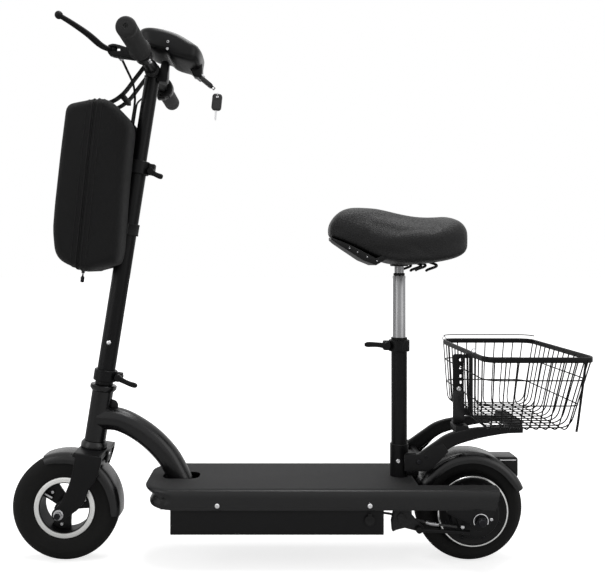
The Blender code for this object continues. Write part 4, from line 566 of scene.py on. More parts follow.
def paint(piece, material):
    piece.data.materials.clear()
    piece.data.materials.append(material)


def dress(name, pieces, body, slot, material, *replaced, frame=None, angle=35):
    """Joins and stands, names, shades and paints a finished piece, and puts it on its body."""
    piece = joined(*pieces) if isinstance(pieces, (list, tuple)) else pieces
    if frame:
        placed(piece, frame)
    piece.name = name
    piece.data.name = name
    paint(piece, material)
    choose(piece)
    bpy.ops.object.shade_smooth_by_angle(angle=radians(angle))
    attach(piece, body)
    if replaced:
        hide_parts(*replaced)
    print(name + ":", len(piece.data.polygons), "faces,", " x ".join(str(round(size * 1000)) for size
          in piece.dimensions), "mm")
    return piece


# %% Turned pieces
def drawn_line(points, closed=False):
    """A line of vertices, drawn by extruding one from place to place."""
    clear_selection()
    bpy.ops.mesh.primitive_plane_add(size=0.001)
    piece = bpy.context.object
    bpy.ops.object.mode_set(mode="EDIT")
    bpy.ops.mesh.select_all(action="SELECT")
    bpy.ops.mesh.merge(type="CENTER")
    bpy.ops.transform.translate(value=points[0])
    for before, after in zip(points, points[1:]):
        step = Vector(after) - Vector(before)
        bpy.ops.mesh.extrude_region_move(TRANSFORM_OT_translate={"value": step})
    if closed:
        bpy.ops.mesh.select_all(action="SELECT")
        bpy.ops.mesh.edge_face_add()
    return piece


def turned(profile, sides=48):
    """A round piece: (radius, height) points spun about Z. A profile off the axis is a ring."""
    if profile[0][0] > 0:
        profile = profile + [profile[0]]
    piece = drawn_line([(radius, 0, height) for radius, height in profile])
    bpy.ops.mesh.select_all(action="SELECT")
    bpy.ops.mesh.spin(steps=sides, angle=2 * pi, center=(0, 0, 0), axis=(0, 0, 1))
    return close_edit(piece)


def tube_profile(outer, inner, low, high, edge=0.0004):
    """The profile of a tube with chamfered outer edges."""
    return [(inner, low), (outer - edge, low), (outer, low + edge), (outer, high - edge),
            (outer - edge, high), (inner, high)]


def rod(radius, low, high, edge=0.0005, sides=32):
    return turned(tube_profile(radius, 0, low, high, edge), sides)


def flipped(points):
    """The other half of a profile that is the same at both ends."""
    return [(radius, -height) for radius, height in reversed(points)]


def flipped_side(points):
    """The other half of a section that is the same on both sides."""
    return [(-side, height) for side, height in reversed(points)]


def read_at(stations, share):
    """A value read between the (share, value) pairs of a list."""
    for (s0, v0), (s1, v1) in zip(stations, stations[1:]):
        if share <= s1:
            return v0 + (v1 - v0) * (share - s0) / (s1 - s0)
    return stations[-1][1]


def arc(centre, radius, start, end, steps):
    """Points on a circle, angles in degrees."""
    return [(centre[0] + radius * cos(radians(start + (end - start) * step / steps)),
            centre[1] + radius * sin(radians(start + (end - start) * step / steps))) for step
            in range(steps + 1)]


def round_rectangle(width, depth, radius, steps=4):
    """A rectangle with round corners about the origin, run anticlockwise."""
    right, top = width / 2 - radius, depth / 2 - radius
    points = []
    for centre, start in (
        ((right, top), 0), ((-right, top), 90), ((-right, -top), 180), ((right, -top), 270)):
        points += arc(centre, radius, start, start + 90, steps)
    return points


# %% Plates and blocks
def plate(outline, low, high, edge=0.0, segments=2):
    """A flat outline of (x, z) points, with its thickness along Y."""
    piece = drawn_line([(x, low, z) for x, z in outline], closed=True)
    bpy.ops.mesh.select_all(action="SELECT")
    bpy.ops.mesh.extrude_region_move(TRANSFORM_OT_translate={"value": (0, high - low, 0)})
    close_edit(piece)
    if edge:
        softened(piece, edge, segments)
    return piece


def block(low, high, edge=0.0, segments=2):
    """A box from corner to corner, with rounded edges."""
    clear_selection()
    size = Vector(high) - Vector(low)
    bpy.ops.mesh.primitive_cube_add(size=1, location=(Vector(high) + Vector(low)) / 2, scale=size)
    piece = bpy.context.object
    bpy.ops.object.transform_apply(location=True, rotation=True, scale=True)
    if edge:
        softened(piece, edge, segments)
    return piece


# %% Lofted pieces
def lofted(rings, closed=True):
    """A skin over rings of equally many points, made from a grid, with its ends filled."""
    clear_selection()
    around = len(rings[0])
    bpy.ops.mesh.primitive_grid_add(x_subdivisions=around, y_subdivisions=len(rings) - 1, size=1)
    piece = bpy.context.object
    for index, vertex in enumerate(piece.data.vertices):
        vertex.co = rings[index // (around + 1)][index % (around + 1) % around]
    edit_all(piece)
    bpy.ops.mesh.remove_doubles(threshold=1e-6)
    if closed:
        bpy.ops.mesh.select_all(action="DESELECT")
        bpy.ops.mesh.select_non_manifold()
        bpy.ops.mesh.fill_holes(sides=0)
    return close_edit(piece)


def smooth_route(points, count):
    """Evenly spread points read from a smooth curve through the given ones."""
    knots = [Vector(point) for point in points]
    ends = [2 * knots[0] - knots[1]] + knots + [2 * knots[-1] - knots[-2]]
    lengths = [(after - before).length for before, after in zip(knots, knots[1:])]
    route = []
    for step in range(count + 1):
        travel = sum(lengths) * step / count
        index = 0
        while index < len(lengths) - 1 and travel > lengths[index]:
            travel -= lengths[index]
            index += 1
        t = min(travel / lengths[index], 1)
        a, b, c, d = ends[index:index + 4]
        route.append(0.5 * (
            2 * b + (c - a) * t + (2 * a - 5 * b + 4 * c - d) * t ** 2 + (3 * b - a - 3 * c + d) * t ** 3))
    return route


def swept(route, section, side=(0, 1, 0), scales=None):
    """A section carried along a route without twist; its points are (side, up) offsets."""
    rings = []
    side = Vector(side)
    for index, point in enumerate(route):
        along = (route[min(index + 1, len(route) - 1)] - route[max(index - 1, 0)]).normalized()
        side = (side - along * side.dot(along)).normalized()
        up = along.cross(side)
        scale = scales[index] if scales else 1
        rings.append([point + (side * a + up * b) * scale for a, b in section])
    return lofted(rings)


# %% Pipes, springs and wires
def wires(routes, radius, resolution=2, cyclic=False, keep_curve=False):
    """Round wire along one or more routes, as one curve that becomes a mesh."""
    clear_selection()
    bpy.ops.curve.primitive_bezier_curve_add()
    piece = bpy.context.object
    curve = piece.data
    curve.splines.clear()
    for route in routes:
        spline = curve.splines.new("POLY")
        spline.points.add(len(route) - 1)
        for point, place in zip(spline.points, route):
            point.co = (*place, 1)
        spline.use_cyclic_u = cyclic
    curve.bevel_depth = radius
    curve.bevel_resolution = resolution
    curve.use_fill_caps = True
    if not keep_curve:
        choose(piece)
        bpy.ops.object.convert(target="MESH")
        close_edit(edit_all(piece))
    return piece


def torus(radius, wire, sides, around, location, rotation):
    """A wire ring."""
    clear_selection()
    bpy.ops.mesh.primitive_torus_add(
        major_radius=radius, minor_radius=wire, major_segments=sides, minor_segments=around,
        location=location, rotation=rotation)
    piece = bpy.context.object
    bpy.ops.object.transform_apply(location=True, rotation=True, scale=True)
    return piece


# %% Bolts and nuts
def socket_bolt(radius, height, place, facing, key=0.5):
    """A domed screw head with a recess sunk in it, facing along a direction."""
    rim = [(0, 0), (radius, 0), (radius, height * 0.45), (radius * 0.92, height * 0.8),
           (radius * 0.75, height), (radius * key, height)]
    head = turned(rim + [(radius * key * 0.95, height * 0.35), (0, height * 0.3)], 24)
    aim = Vector(facing).to_track_quat("Z", "Y").to_matrix().to_4x4()
    return placed(head, moved(*place) @ aim)


def hexagon_nut(across_flats, low, high, hole):
    """A nut along Z with chamfered corners and its bore."""
    corner = across_flats / 2 / cos(pi / 6)
    body = turned([(hole, low), (corner, low), (corner, high), (hole, high)], 6)
    return softened(body, across_flats * 0.05, 2, 40)


# %% [markdown]
# ## Cords
# Three control cables hang free between two fixed ends: the brake's and the throttle's
# from the bar down to the front of the stem, and the rear brake's from the battery box to
# the brake. Each is a curve through listed points, the same ones as in the CAD
# model. The short one at the head tube is clipped at both ends, so it is a plain wire.

# %% Cords
def by_stem(drop, side, forward=0.0238):
    """A point in front of the stem, so far below the bar along its axis."""
    return (drop * sin(steering_lean) + forward * cos(steering_lean), side,
            -drop * cos(steering_lean) + forward * sin(steering_lean))


def cord(name, body, node, points, count, radius, place, sheath):
    """A rubber-sheathed cable along a smooth curve."""
    route = [place @ point for point in smooth_route(points, count)]
    piece = wires([route], radius, 3, keep_curve=True)
    length = sum((after - before).length for before, after in zip(route, route[1:]))
    piece.name = name
    piece.data.materials.append(sheath)
    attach(piece, body)
    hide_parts(node)
    print(name + ":", round(length * 1000), "mm long")
    return piece


cord("brake_cord", "handlebar", "brake_cable", [(0.042, 0.095, -0.001), (0.04, 0.075, -0.008),
     (0.031, 0.045, -0.033), by_stem(0.056, 0.018), by_stem(0.073, 0.009), by_stem(0.09, 0.009),
     by_stem(0.112, 0.009)], 36, 0.0022, bar_frame, cable_rubber)
cord("throttle_cord", "handlebar", "throttle_cable", [(0.006, -0.1198, -0.016), (0.01, -0.09, -0.026),
     (0.023, -0.045, -0.038), by_stem(0.059, -0.018), by_stem(0.073, -0.009), by_stem(0.09, -0.009),
     by_stem(0.112, -0.009)], 36, 0.0018, bar_frame, cable_rubber)
deck_shift = moved(shift_x, 0, 0)
cord("rear_brake_cord", "frame", "rear_brake_cable", mm((-174.3, 46, 100), (-184, 46, 100), (-210, 46, 95),
     (-245, 48, 87), (-265, 56, 83.8), (-290, 63.5, 83.2), (-310.5, 68, 82.2)), 36, 0.0022, deck_shift,
     grey_sheath)
backwards = Vector((-cos(steering_lean), 0, -sin(steering_lean)))
cable_exit = steering_foot + steering_up * 0.2105 + backwards * 0.0203
neck_route = [cable_exit, cable_exit + backwards * 0.0035] + shifted(
    mm((329, 0, 298), (326.8, 0, 293.5), (327.2, 0, 288.2)))
boot_outline = shifted(mm(
    (337.3, 302), (331.8, 301.2), (328, 298), (325.8, 293.5), (325.8, 288), (331.8, 284), (338.8, 286.2)))
boot = plate(boot_outline, -0.004, 0.004, 0.0012)
neck_wire = wires([smooth_route(neck_route, 20)], 0.0027, 3)
dress("neck_wire", [neck_wire, boot], "frame", "rubber", cable_rubber, "neck_cable", angle=60)
ferrule_route = shifted(mm((-257.2, 52.2, 85), (-265, 56, 83.8), (-279, 60.3, 83.4)))
dress("cable_ferrule", wires([ferrule_route], 0.0034, 3), "frame", "steel", zinc, angle=60)


# %% [markdown]
# ## Tyres
# Both tyres are the same small pneumatic kind: a round crown with three fine grooves, a
# shoulder of moulded blocks, and a bead that disappears behind the rim's flange. One
# outline is spun into the tyre, and the blocks are made by picking every other run of
# shoulder faces and pushing them in, which is how the mould leaves them.

# %% Tyre with a moulded tread
tyre_half_width = 0.026
tread_steps = 120


def tyre_profile(bead):
    """From the left bead out over the crown to the right bead and back inside."""
    seat = tyre_half_width * 0.7
    crown = wheel_radius
    rise = crown - bead
    side = [
        (bead + 0.0003, seat - 0.001), (bead + 0.006, seat + 0.0003), (bead + rise * 0.26, seat + 0.0042),
        (bead + rise * 0.32, seat + 0.005), (bead + rise * 0.36, seat + 0.005),
        (bead + rise * 0.56, tyre_half_width), (bead + rise * 0.7, tyre_half_width * 0.975),
        (bead + rise * 0.82, tyre_half_width * 0.87), (bead + rise * 0.9, tyre_half_width * 0.74)]
    grooves = []
    for y in (0.0118, 0.004):
        drop = crown - 0.0004 - 5.5 * y ** 2
        grooves += [(drop, y + 0.0013), (drop - 0.0016, y + 0.0009), (drop - 0.0016, y - 0.0009),
                    (drop, y - 0.0013)]
    half = side + grooves
    wall = 0.005
    inside = [(bead + rise * 0.5, tyre_half_width - wall), (bead + 0.0003, seat - wall)]
    return half + flipped(half) + flipped(inside) + [(crown - wall, 0)] + inside


def tyre(name, body, node, centre, bead):
    piece = turned(tyre_profile(bead), tread_steps)
    placed(piece, across_axle)
    rise = wheel_radius - bead
    low, high = bead + rise * 0.73, bead + rise * 0.93
    for face in piece.data.polygons:
        middle = face.center
        radius = (middle.x ** 2 + middle.z ** 2) ** 0.5
        step = degrees(atan2(middle.z, middle.x)) % 360 / (360 / tread_steps)
        outer = face.normal.x * middle.x + face.normal.z * middle.z > 0
        face.select = outer and low < radius < high and abs(middle.y) > 0.014 and int(step) % 3 == 0
    choose(piece)
    bpy.ops.object.mode_set(mode="EDIT")
    bpy.ops.mesh.select_mode(type="FACE")
    bpy.ops.mesh.extrude_region_shrink_fatten(TRANSFORM_OT_shrink_fatten={"value": -0.0013})
    bpy.ops.mesh.select_mode(type="VERT")
    close_edit(piece)
    placed(piece, moved(*centre))
    return dress(name, piece, body, "tyre", tyre_black, node, angle=40)


front_bead = 0.0505
rear_bead = 0.0625
tyre("front_tyre_rubber", "front_wheel", "front_tyre", front_axle, front_bead)
tyre("rear_tyre_rubber", "rear_wheel", "rear_tyre", rear_axle, rear_bead)


# %% [markdown]
# ## The front rim
# A split rim pressed from two aluminium halves: the lips and the barrel are bright, and
# the three webs with their hub are black. The lip is spun. One web is a tapering plate
# modelled once and copied three times round the axle.

# %% Front rim
rim_seat = tyre_half_width * 0.7 + 0.0003
rim_lip = 0.0582
# Half of a flanged barrel, with the rolled lip of its side
half_rim = [(0.0478, 0.006), (0.048, rim_seat + 0.002), (0.0488, rim_seat + 0.0034), (
    0.0552, rim_seat + 0.0034), (0.0575, rim_seat + 0.0028), (rim_lip, rim_seat + 0.0014), (rim_lip,
    rim_seat + 0.0004), (0.0574, rim_seat), (0.0505, rim_seat), (0.05, rim_seat * 0.5)]
ring = turned(half_rim + flipped(half_rim), 96)
dress("rim_ring", ring, "front_wheel", "silver", rim_metal, frame=front_hub, angle=30)
barrel = turned(tube_profile(0.0479, 0.0468, -rim_seat - 0.0022, rim_seat + 0.0022), 96)
dress("rim_barrel", barrel, "front_wheel", "black_paint", satin_coat, frame=front_hub, angle=30)

web_half = 0.0052
web_recess = 0.0012
bolt_circle = 0.0367
hub_reach = 0.033
web_angles = [44 + 120 * index for index in range(3)]
# Half of a web that lies along +X
half_web = mm((47.2, 9), (44.5, 18.8), (40, 17.6), (30, 15), (18, 12.8), (6, 12))
web = plate(flipped(half_web) + [(0.0482, 0)] + half_web, -web_half, web_half, 0.0012)
cut_away(web, plate(arc((0.0375, 0), 0.0066, 0, 345, 23), web_half - web_recess, web_half + 0.01))
webs = [copied(web, moved(*front_axle) @ turn(-angle, "Y")) for angle in web_angles]
bpy.data.objects.remove(web)
half_hub = [
    (0.0185, 0.006), (0.0165, 0.01), (0.0165, hub_reach - 0.0015), (0.015, hub_reach), (0.0085, hub_reach)]
hub = placed(turned(flipped(half_hub) + half_hub, 48), front_hub)
dress("rim_centre", [hub, *webs], "front_wheel", "black_paint", black_coat, "front_rim")

screws = []
for angle in web_angles:
    spot = front_axle + turn(-angle, "Y") @ Vector((bolt_circle, 0, 0))
    recess = spot + Vector((0, web_half - web_recess, 0))
    screws.append(socket_bolt(0.0034, 0.003, recess, (0, 1, 0)))
    nut = hexagon_nut(0.008, 0, 0.004, 0.0015)
    screws.append(placed(nut, Matrix.Translation(spot - Vector((0, web_half, 0))) @ turn(90, "X")))
valve = rod(0.0022, 0, 0.024, 0.0006, 20)
screws.append(placed(valve, moved(*front_axle) @ turn(60, "Y") @ moved(0, 0.009, 0.03)))
dress("rim_screws", screws, "front_wheel", "steel", zinc, angle=40)


# %% [markdown]
# ## The front axle
# The axle stands still in the fork, and the hub turns on it. What shows is the end of the
# thread, a nut and its washer, all zinc plated and a little dull.

# %% Front axle
leg_inside = 0.056
leg_outside = leg_inside + 0.006


def threaded_end(radius, start, end, pitch=0.0009):
    """A thread's ridges, as a turned profile from start to end."""
    profile = [(0, start)]
    count = int((end - start - 0.0008) / pitch)
    for index in range(count):
        height = start + pitch * index
        profile += [(radius, height), (radius - 0.0004, height + pitch * 0.5)]
    profile += [(radius, end - 0.0008), (radius - 0.001, end), (0, end)]
    return turned(profile, 24)


def axle_end(radius, face, flats):
    """Washer and nut of one end, along +Z from the face that they press on."""
    washer = turned(tube_profile(flats * 0.66, radius, face + 0.0001, face + 0.0016), 40)
    nut = hexagon_nut(flats, face + 0.0017, face + 0.0017 + flats * 0.46, radius - 0.0002)
    return joined(washer, nut)


def both_ends(piece):
    """The piece and its twin at the axle's other end."""
    return piece, copied(piece, turn(180, "X"))


half_core = [(0.0125, hub_reach), (0.0086, hub_reach + 0.0004), (
    0.0086, leg_inside - 0.0005), (0.006, leg_inside - 0.0005), (0.006, leg_outside), (0, leg_outside)]
core = turned(flipped(half_core) + half_core, 32)
nuts = both_ends(axle_end(0.006, leg_outside, 0.014))
dress("front_axle_steel", [core, *nuts], "fork", "steel", zinc, "front_axle", frame=front_hub, angle=30)
threads = both_ends(threaded_end(0.0058, leg_outside - 0.002, leg_outside + 0.0115))
dress("front_threads", threads, "fork", "steel", dark_steel, frame=front_hub, angle=30)


# %% [markdown]
# ## The fork
# Two thick plates hang from a crown and sweep forwards to the axle. They are cut from
# plate with generous round edges, so each leg is an outline that is extruded and then
# beveled. The crown is a block whose edges are rounded more, and the steerer tube that
# runs up through the head tube is turned.

# %% Fork
crown_low = 0.1075
crown_high = 0.117
leg_outline = ([
    (-0.0286, crown_high), (-0.0292, 0.1052), (-0.0268, 0.088), (-0.0235, 0.0711), (-0.015, 0.0574),
    (-0.0118, 0.0433), (-0.011, 0.0338), (-0.006, 0.0222), (0.002, 0.012)] + arc((0.0333, 0), 0.013, -148,
    20, 12) + [(0.033, 0.023), (0.027, 0.042), (0.022, 0.064), (0.0205, 0.085), (0.0205, crown_high)])
left_leg = plate(leg_outline, leg_inside, leg_outside, 0.0016, 3)
crown = block((-0.0286, -leg_outside + 0.0005, crown_low), (
    0.0262, leg_outside - 0.0005, crown_high + 0.0006), 0.0042, 5)
stay = block((-0.0325, -0.012, 0.0955), (-0.0285, 0.018, 0.1195), 0.0012)
steerer = turned(tube_profile(0.0127, 0.0102, crown_low + 0.001, 0.2685), 40)
boss = turned([(0.012, crown_high - 0.001), (0.0235, crown_high - 0.001), (0.0235, crown_high + 0.0001),
              (0.012, crown_high + 0.0001)], 40)
dress("fork_steel", [left_leg, mirrored(left_leg), crown, stay, steerer, boss], "fork", "black_paint",
      black_coat, "fork", frame=steering_frame)
stay_bolt = socket_bolt(0.0036, 0.003, (-0.0325, 0.012, 0.113), (-1, 0.3, 0))
dress("stay_bolt", stay_bolt, "fork", "steel", zinc, frame=steering_frame)


# %% [markdown]
# ## Fenders
# Both fenders are thin moulded channels that follow the tyre. Seen from the side the
# front one has a full round nose, and its skirt deepens towards the back. A cross section
# is carried round the wheel as a loft, and its wall comes from the section itself.

# %% Fenders
fender_wall = 0.0022


def fender_section(radius, half, skirt, corner):
    """A channel's section as (y, radius) points, outside then inside."""
    def side(offset):
        top, wide, bend = radius - offset, half - offset, corner - offset * 0.6
        return [(wide, radius - skirt)] + arc((wide - bend, top - bend), bend, 0, 90, 6)

    outer, inner = side(0), side(fender_wall)
    crown = 0.0004
    return ([(-y, r) for y, r in outer] + [(0, radius + crown)] + outer[::-1] + inner
            + [(0, radius - fender_wall + crown)] + flipped_side(inner))


def fender(name, body, node, centre, radius, half, start, end, skirts, corner, steps=56):
    """A channel round the wheel; skirts gives its depth at shares of the way round."""
    rings = []
    for step in range(steps + 1):
        share = step / steps
        angle = radians(start + (end - start) * share)
        section = fender_section(radius, half, read_at(skirts, share), corner)
        rings.append([(r * cos(angle), y, r * sin(angle)) for y, r in section])
    dress(name, lofted(rings), body, "black_plastic", fender_plastic, node, frame=moved(*centre), angle=40)


fender("front_fender_shell", "fork", "front_fender", front_axle, 0.106, 0.0315, 68, 188,
       [(0, 0.015), (0.15, 0.019), (0.8, 0.019), (0.96, 0.0165), (1, 0.014)], 0.0135)


# %% [markdown]
# ## Neck and head tube
# The scooter's neck is a box tube that arches down from the head tube into the deck. It
# is one bent tube, so it is a round-cornered section carried along a smooth route, with
# enough rings that the arch shows no corners. The head tube and its bearing cups stand on
# the steering axis.

# %% Neck
def on_axis(height):
    """A point of the steering axis, so far up it from the axle's foot."""
    return steering_foot + steering_up * height


neck_width = 0.042
neck_depth = 0.044
head_bottom, head_top = 0.1308, 0.228
neck_points = [on_axis(head_bottom + 0.0437)] + shifted(
    mm((318, 0, 264), (270, 0, 237), (232, 0, 200), (209, 0, 162), (199, 0, 140)))
arch = swept(smooth_route(neck_points, 40), round_rectangle(neck_width, neck_depth, 0.02, 8))
tube = turned(tube_profile(0.02, 0.017, head_bottom, head_top, 0.0008), 56)
cup_foot = crown_high + 0.0004
low_cup = [(0.0135, cup_foot), (0.0235, cup_foot), (0.025, cup_foot + 0.0012), (0.025, 0.126),
           (0.0215, head_bottom), (0.0135, head_bottom)]
high_cup = [(0.0135, head_top), (0.0215, head_top), (0.025, 0.2325), (0.025, 0.2384), (0.0235, 0.2396),
            (0.0135, 0.2396)]
cups = [turned(cup, 56) for cup in (low_cup, high_cup)]
head = placed(joined(tube, *cups), steering_frame)
dress("neck_arch", [arch, head], "frame", "black_paint", gloss_coat, "neck_frame", angle=40)


# %% [markdown]
# ## The deck
# The deck is a formed tray: its top face rolls over a soft edge into sides that swell out
# and tuck in again near the foot, so its nose shows a rounded lip over a second, lower
# lip. That profile is repeated at every point of the plan outline, so the plan becomes
# the rings of a loft. The rear arms and the slot for the wheel are cut out of it.

# %% Deck
deck_bottom = 0.1207
deck_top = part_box("deck")[1][2]
deck_height = deck_top - deck_bottom
deck_half = 0.0975
deck_nose = 0.264 + shift_x
deck_tail = -0.382 + shift_x
deck_rear = -0.24 + shift_x
arm_inside = 0.0635
deck_wall = 0.003
nose_radius = 0.05


def plan_outline(front_inset, side_inset, steps=10):
    """The deck seen from above: a round nose and a square tail."""
    front, half = deck_nose - front_inset, deck_half - side_inset
    left = arc((front - nose_radius, half - nose_radius), nose_radius, 0, 90, steps)
    return [(deck_tail, -half)] + flipped(left) + left + [(deck_tail, half)]


# Height share, inset at the nose, inset at the sides, from the foot up
deck_levels = [(
    0.0, 0.0125, 0.002), (0.05, 0.0102, 0.0006), (0.16, 0.0086, 0.0), (0.28, 0.0092, 0.0), (0.4, 0.0126,
    0.0), (0.52, 0.0142, 0.0002), (0.63, 0.0112, 0.0006), (0.74, 0.0055, 0.0014), (0.84, 0.0016,
    0.0027), (0.92, 0.0003, 0.0047), (0.965, 0.001, 0.0068), (0.99, 0.0028, 0.0088), (1.0, 0.0058, 0.0112)]
tray = lofted([[(x, y, deck_bottom + deck_height * share) for x, y in plan_outline(front, side)] for share,
              front, side in deck_levels])
hollow = lofted(
    [[(x, y, z) for x, y in plan_outline(front, side, 6)] for z, front,
    side in ((deck_bottom - 0.01, 0.015, 0.006), (deck_top - 0.013, 0.015, 0.006),
    (deck_top - 0.003, 0.016, 0.014))])
slot = block((deck_tail - 0.01, -arm_inside - deck_wall, deck_bottom - 0.01), (
    deck_rear, arm_inside + deck_wall, deck_top + 0.01))
slant = plate([(deck_tail - 0.01, deck_bottom - 0.01), (deck_tail + 0.012, deck_bottom - 0.01),
              (deck_tail, deck_top - 0.004), (deck_tail - 0.01, deck_top)], -0.2, 0.2)
neck_hole = lofted(
    [[(x + 0.202 + shift_x, y, z) for x, y in round_rectangle(0.07, 0.048, 0.016)] for z
    in (deck_top - 0.01, deck_top + 0.01)])
cut_away(tray, hollow, slot, slant, neck_hole)
wall_foot, wall_top, wall_end = deck_bottom + 0.001, deck_top - 0.0015, deck_rear + deck_wall
arm_wall = block(
    (deck_tail + 0.001, arm_inside, wall_foot), (wall_end, arm_inside + deck_wall, wall_top), 0.0008)
walls = [arm_wall, mirrored(
    arm_wall), block((deck_rear, -arm_inside, wall_foot), (wall_end, arm_inside, wall_top),
    0.0008), block((0.18, -0.094, wall_foot), (0.2312, 0.094, deck_bottom + 0.0187),
    0.001), block((-0.2368, -0.094, wall_foot), (-0.1928, 0.094, deck_bottom + 0.014), 0.001)]
dropout = plate([(rear_axle.x - 0.03, deck_bottom + 0.006)] + arc(
    (rear_axle.x, rear_axle.z), 0.019, -170, -15, 12) + [(rear_axle.x + 0.06, deck_bottom - 0.006),
    (rear_axle.x + 0.06, deck_bottom + 0.006)], 0.088, 0.095, 0.0012)
dress("dropouts", [dropout, mirrored(dropout)], "frame", "deck_paint", satin_coat)


# %% [markdown]
# ## The stand's bracket
# A small cast bracket is bolted under the deck, and the stand's leg swings in it. Seen
# from the side it is an odd, rounded shape with a hollow in the middle.

# %% Stand bracket
def cast_outline(points, steps=3):
    """Smooths a list of (x, z) points into a rounded outline."""
    looped = points[-2:] + points + points[:2]
    route = smooth_route([(x, 0, z) for x, z in looped], (len(points) + 3) * steps)
    return [(point.x, point.z) for point in route[2 * steps - 2:-2 * steps + 1]]


stand_outline = shifted(
    mm((-194.4, 125), (-194.4, 108.6), (-190.7, 90.2), (-192.6, 71.8), (-200, 75.4), (-214.7, 79.1),
    (-233.1, 74.5), (-246, 70), (-252.5, 73.6), (-251.6, 79.1), (-240.5, 89.3), (-228.5, 103.1),
    (-227.6, 125)))
stand_y = 0.06
bracket = plate(stand_outline, stand_y - 0.007, stand_y + 0.007, 0.0022, 3)
rib = plate(
    shifted(mm((-220, 95), (-205, 88), (-200, 100), (-208, 110))), stand_y + 0.006, stand_y + 0.009, 0.0012)
dress("stand_bracket", [bracket, rib], "frame", "deck_paint", cast_metal)
dress("deck_shell", [tray, *walls], "frame", "deck_paint", deck_coat, "deck", angle=32)


# %% [markdown]
# ## The battery box
# Under the deck hangs a folded sheet steel box with the battery and the controller. It is
# held by four round-headed screws, bright against the black, and its charging socket has
# a rubber cap on a strap.

# %% Battery box
box_low = Vector((-0.174 + shift_x, -0.085, 0.073))
box_high = Vector((0.2133 + shift_x, 0.085, deck_bottom - 0.0003))
case_wall = 0.002
case = block(box_low, box_high, 0.0016, 3)
inside = block(
    box_low + Vector((case_wall, case_wall, case_wall)), box_high + Vector((-case_wall, -case_wall, 0.01)))
port_x, port_z = -0.148 + shift_x, 0.1
port_hole = placed(rod(0.0062, 0.06, 0.1), moved(port_x, 0, port_z) @ across_axle)
cut_away(case, inside, port_hole)
lip = block((box_low.x + 0.004, 0.0837, box_low.z + 0.0035), (box_high.x - 0.004, 0.0855,
            box_low.z + 0.0045), 0.0004)
flanges = [lip, placed(mirrored(lip), moved(0, 0.0002, 0))]
tabs = []
for name, x in (("front", 0.127 + shift_x), ("rear", -0.147 + shift_x)):
    foot = block((x - 0.012, 0.084, box_high.z - 0.002), (x + 0.012, 0.0912, box_high.z), 0.0005)
    tab = block((x - 0.012, 0.0892, box_high.z - 0.002), (x + 0.012, 0.0912, 0.139), 0.0005)
    tabs += [foot, mirrored(foot), tab, mirrored(tab)]
    screw = socket_bolt(0.0046, 0.0028, (x, 0.0978, 0.13), (0, 1, 0), 0.42)
    dress("deck_screws_" + name, [screw, mirrored(screw)], "frame", "steel", bright_steel, angle=40)
dress("battery_case", [case, *tabs, *flanges], "frame", "black_paint", satin_coat, "battery_box")

# %% Charging socket and cap
socket = turned(
    mm((0, -12), (6, -12), (6, 0.3), (8.5, 0.3), (8.5, 1.6), (7.9, 2), (4.5, 2), (4.5, -6), (0, -6)), 40)
dress("charging_socket", socket, "frame", "black_plastic", black_plastic, "charge_port",
      frame=moved(port_x, 0.085, port_z) @ across_axle)
cap_hinge = pivot("charge_port_cap_open")
cap = turned(
    mm((0, -2), (3.6, -2), (3.6, 0), (9.5, 0), (9.7, 1), (8.8, 2.2), (7, 2.5), (6.2, 2.1), (0, 1.9)), 40)
placed(cap, Matrix.Translation(cap_hinge + Vector((0, -0.0007, -0.0115))) @ across_axle)
strap = block(
    cap_hinge + Vector((-0.0035, -0.0007, -0.005)), cap_hinge + Vector((0.0035, 0.001, 0.0015)), 0.0006)
dress("socket_cap", [cap, strap], "charge_port_cap", "rubber", cable_rubber, "charge_port_cap")
paint(nodes["battery_pack"], black_plastic)
paint(nodes["motor_controller"], zinc)


# %% [markdown]
# ## The stem
# The stem is two tubes in one another. The lower one stands on the steerer and is held by
# a split collar with a cam lever, the upper one slides in it and has its own collar and
# lever. Every one of these is round, so they are turned and then stood in the steering
# frame. The collars' ears are rounded blocks with a saw cut between them.

# %% Lower stem and collars
stem_bottom = 0.24
stem_top = 0.664
lower_radius = 0.017
upper_radius = 0.014
stem = turned(tube_profile(lower_radius, 0.0145, stem_bottom, stem_top), 56)
dress("lower_stem_tube", stem, "fork", "black_paint", black_coat, "lower_stem", frame=steering_frame)


def collar(name, node, body, frame_matrix, inside, low, high, ear_side, lip=None):
    """A clamp collar with two ears; ear_side is 1 for ears at the front, -1 at the back.
    The lip is the radius and the height of a rim that closes over the tube's end."""
    outside = inside + 0.0045
    profile = tube_profile(outside, inside, low, high, 0.001)
    if lip:
        profile[-1:] = [(lip[0], high), lip, (inside, lip[1])]
    ring = turned(profile, 56)
    start, end = sorted((ear_side * (inside + 0.002), ear_side * (outside + 0.011)))
    ears = [block((start, y0, low + 0.002), (end, y1, high - 0.002), 0.0022, 3) for y0,
            y1 in mm((1.2, 8.5), (-8.5, -1.2))]
    dress(name, [ring, *ears], body, "black_paint", black_coat, node, frame=frame_matrix)


collar("stem_base_collar", "stem_base_clamp", "fork", steering_frame, lower_radius + 0.0003, 0.2472, 0.2685,
       -1)
collar("stem_collar", "stem_clamp", "fork", steering_frame, lower_radius + 0.0003, 0.6483, 0.6736, -1,
       (upper_radius + 0.0003, stem_top + 0.0003))


# %% [markdown]
# ## Cam levers
# Three quick-release levers hold the stem and the seat. Each has a bolt through the ears,
# a round cam at one end, an adjusting nut at the other and a curved thumb lever. One
# function makes them, and each is stood on its own joint's axis.

# %% Cam levers
ear_half = 0.0085


